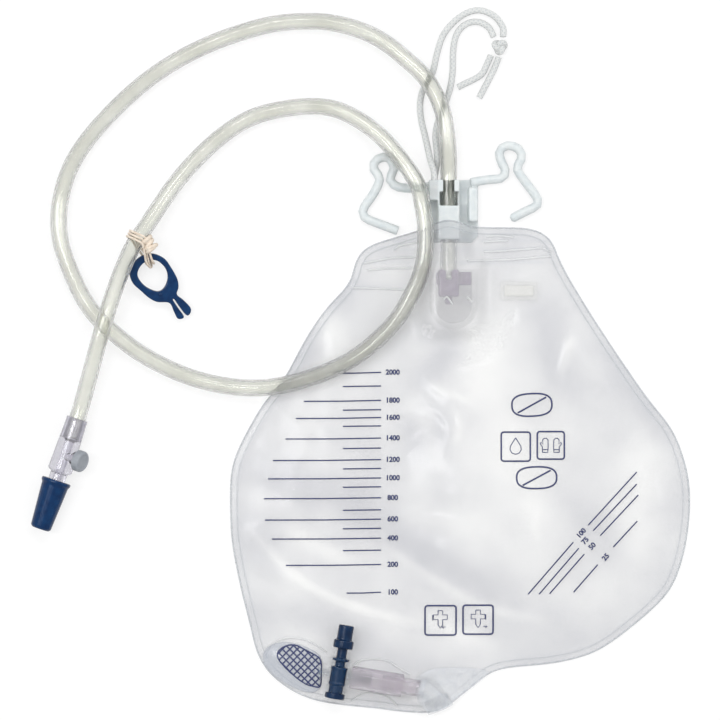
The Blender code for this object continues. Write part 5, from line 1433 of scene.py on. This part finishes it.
# %% Clear mouldings
# Painted shade: the clear, chamber and tinted finishes turn darker on upright walls.
clear_moulding = moulding_finish("clear moulding", (0.70, 0.69, 0.75), (0.84, 0.83, 0.88), 0.10,
                                 transmission=0.92, ior=1.42, painted_side_shade=(0.20, 0.19, 0.28))
connector = moulded("sample_connector", clear_moulding, 0.30 * MM, 6)
tap_clear = moulding_finish("tap moulding", (0.06, 0.14, 0.26), (0.14, 0.24, 0.38), 0.06, alpha=0.035)
moulded("tap_body", tap_clear, 0.28 * MM, 4)
chamber_moulding = moulding_finish("chamber moulding", (0.80, 0.80, 0.84), (0.94, 0.94, 0.96), 0.05,
                                   alpha=0.07, gloss=1.0, painted_side_shade=(0.30, 0.30, 0.42))
moulded("drip_chamber", chamber_moulding, 0.32 * MM, 4)
tinted = moulding_finish("tinted moulding", (0.15, 0.09, 0.18), (0.28, 0.20, 0.32), 0.12, alpha=0.88,
                         painted_side_shade=(0.06, 0.03, 0.10))
moulded("inlet_fitting", tinted, 0.28 * MM, 4)

# %% Soft vinyl pieces
# Painted shade: the drain vinyl turns darker on upright walls.
drain_vinyl = moulding_finish("drain vinyl", (0.92, 0.88, 0.93), (0.98, 0.96, 0.98), 0.10, alpha=0.8,
                              transmission=0.92, ior=1.40, painted_side_shade=(0.36, 0.28, 0.40))
moulded("drain_sleeve", drain_vinyl, 0.30 * MM, 5)
moulded("drain_tube", drain_vinyl, 0.28 * MM, 4)
frosted = moulding_finish("frosted vinyl", (0.74, 0.78, 0.84), (0.94, 0.96, 0.98), 0.34, alpha=0.24)
spout = moulded("outlet_spout", frosted, 0.30 * MM, 40)

# %% [markdown]
# ## The folded tip
#
# The bag narrows to its outlet, and that tip is folded up over the front and wraps the soft outlet in a hood
# of frosted film. Cloth simulation could drape it, but a hood of this size only needs to lie on what is
# under it. So its flat outline is filled, made finer, dropped on the surface below and eased, and each
# easing keeps it above what it covers, which leaves it hanging like a small tent.

# %% Folded tip
HOOD_EDGE = [
    (-26.6, -152.1), (-25.3, -149.9), (-21.2, -147.3), (-15.8, -145.3), (-5.2, -144.4), (8.0, -144.8),
    (17.0, -147.0), (15.0, -150.2), (5.0, -158.2), (-7.9, -168.2), (-12.9, -170.4), (-19.5, -170.6),
    (-22.6, -166.6), (-26.4, -161.6),
]
HOOD_FOLDS = [
    (0.7, 1.3, [(-21.8, -150.8), (-14.8, -152.9), (-7.3, -154.3), (2.6, -154.3)]),
    (0.6, 1.5, [(-17.8, -146.6), (-6.0, -147.6), (8.0, -147.8)]),
    (0.5, 1.4, [(-7.3, -166.0), (-8.4, -160.0), (-6.6, -155.6)]),
    (0.4, 1.6, [(-24.0, -161.2), (-16.0, -163.6), (-11.0, -167.6)]),
]
HOOD_GRAIN = 1.6 * MM
HOOD_SPLITS = 6
HOOD_LIFT = 0.5 * MM
HOOD_T = 0.3 * MM
HOOD_ROUNDS = 24


def hood_sheet():
    """The hood's flat outline, filled and made finer until its triangles can follow a fold."""
    bm = bmesh.new()
    loop = [bm.verts.new(p) for p in closed_route(HOOD_EDGE, 1.2 * MM)]
    for a, b in zip(loop, loop[1:] + loop[:1]):
        bm.edges.new((a, b))
    bmesh.ops.triangle_fill(bm, use_beauty=True, edges=bm.edges[:])
    for _ in range(HOOD_SPLITS):
        long_edges = [e for e in bm.edges if e.calc_length() > HOOD_GRAIN]
        bmesh.ops.subdivide_edges(bm, edges=long_edges, cuts=1)
        bmesh.ops.triangulate(bm, faces=bm.faces)
        bmesh.ops.beautify_fill(bm, faces=bm.faces[:], edges=[e for e in bm.edges if not e.is_boundary])
    bmesh.ops.recalc_face_normals(bm, faces=bm.faces)
    if sum(f.normal.z for f in bm.faces) < 0:
        bmesh.ops.reverse_faces(bm, faces=bm.faces)
    return bm


hood_bm = hood_sheet()
under = surface_tree([front_mesh, spout.data])
floor_of = {v: film_height(v.co.x, v.co.y, under) + HOOD_LIFT for v in hood_bm.verts}
for vert, height in floor_of.items():
    vert.co.z = height
for _ in range(HOOD_ROUNDS):
    bmesh.ops.smooth_vert(hood_bm, verts=hood_bm.verts, factor=0.5, use_axis_z=True)
    for vert, height in floor_of.items():
        vert.co.z = max(vert.co.z, height)
hood_flat = np.array([v.co[:2] for v in hood_bm.verts])
for height, width, line in HOOD_FOLDS:
    smooth, _ = smooth_route([(x, y, 0) for x, y in line], 2.0 * MM)
    apart, share = line_distance(hood_flat, [p[:2] for p in smooth])
    rises = height * MM * np.sin(math.pi * np.clip(share, 0.08, 0.92)) * np.exp(-(apart / (width * MM)) ** 2)
    for vert, rise in zip(hood_bm.verts, rises):
        vert.co.z += rise
bmesh.ops.solidify(hood_bm, geom=hood_bm.faces[:], thickness=HOOD_T)
bmesh.ops.recalc_face_normals(hood_bm, faces=hood_bm.faces)
hood_mesh = bpy.data.meshes.new("tip_hood")
hood_bm.to_mesh(hood_mesh)
hood_bm.free()
hood_mesh.shade_smooth()
mark_flanks(hood_mesh, SIDE_SHADE_POWER)
new_piece(hood_mesh, "tip_hood", frosted)
print("tip hood:", triangles(hood_mesh), "triangles, up to",
      round(max(v.co.z for v in hood_mesh.vertices) / MM, 1), "mm")

# %% [markdown]
# ## The small pieces
#
# The sampling port is matt grey rubber. The vent is a pale frame with a paper patch on the front film, and
# the valve is a thin leaf inside the bag. All three are faint over the white table.

# %% Rubber, vent and valve
grey_rubber = moulding_finish("grey rubber", (0.23, 0.25, 0.28), (0.30, 0.32, 0.35), 0.5, grain=0.3)
septum = moulded("sample_septum", grey_rubber, 0.22 * MM, 5)
vent_white = moulding_finish("vent moulding", (0.90, 0.91, 0.88), (0.96, 0.96, 0.94), 0.4, alpha=0.12)
moulded("vent_housing", vent_white, 0.22 * MM, 4)
vent_paper = moulding_finish("vent paper", (0.90, 0.90, 0.86), (0.96, 0.96, 0.92), 0.8, alpha=0.22,
                             grain_scale=1400.0, grain=0.5)
moulded("vent_membrane", vent_paper, 0.16 * MM, 2)
valve_film = moulding_finish("valve film", (0.84, 0.84, 0.88), (0.92, 0.92, 0.94), 0.3, alpha=0.22)
moulded("anti_reflux_flap", valve_film, 0.2 * MM, 1)

# %% [markdown]
# ## The rubber band
#
# The band is one thin loop of natural rubber, wound three times round the tube and the clip. Its solid keeps
# few sides, and Subdivision rounds them. Its slack is wrapped round the bundle in a small twisted clump: one
# more closed strand, which circles the bundle several times while it drifts along it and back.

# %% Rubber band
band_maker = link_plain("rubber_band_round", merged_copy("rubber_band"))
band_maker.modifiers.new("round", "SUBSURF")
band_maker.modifiers["round"].levels = 2
band_maker.modifiers["round"].render_levels = 2
band_mesh = frozen(band_maker)
band_mesh.shade_smooth()
tan_rubber = moulding_finish("tan rubber", (0.60, 0.50, 0.40), (0.80, 0.72, 0.62), 0.6, mark_scale=420.0,
                             grain_scale=1500.0, grain=0.5)
band = new_piece(band_mesh, "rubber_band_round", tan_rubber, stands_for=("rubber_band",))
print("rubber band:", triangles(band_mesh), "triangles")

# %% Band clump
CLUMP_AT = (-186.2 * MM, 109.2 * MM)
CLUMP_ALONG = Vector((0.54, -0.84, -0.12)).normalized()
CLUMP_TURNS = 5
CLUMP_REACH = 3.4 * MM
CLUMP_R = 2.9 * MM
CLUMP_SWAY = 0.6 * MM
CLUMP_STRAND = 2.5 * MM
CLUMP_STEPS = 260
CLUMP_FEEL = 4.0 * MM

beside = CLUMP_ALONG.cross(Vector((0, 0, 1))).normalized()
over = beside.cross(CLUMP_ALONG)
near_heights = [v.co.z for v in band_mesh.vertices if math.dist(v.co[:2], CLUMP_AT) < CLUMP_FEEL]
clump_middle = Vector((*CLUMP_AT, sum(near_heights) / len(near_heights)))
clump = []
for k in range(CLUMP_STEPS):
    t = 2 * math.pi * k / CLUMP_STEPS
    radius = CLUMP_R + CLUMP_SWAY * math.cos(2 * t + 1.0)
    turn = CLUMP_TURNS * t
    drift = CLUMP_REACH * math.cos(t)
    round_it = beside * radius * math.cos(turn) + over * radius * math.sin(turn)
    clump.append(clump_middle + CLUMP_ALONG * drift + round_it)
clump_mesh = frozen(link_plain("band_clump", route_curve("band_clump", clump, CLUMP_STRAND / 2, 4, True)))
clump_mesh.shade_smooth()
band_clump = new_piece(clump_mesh, "band_clump", tan_rubber)
print("clump at", round(clump_middle.z / MM, 2), "mm,", triangles(clump_mesh), "triangles")
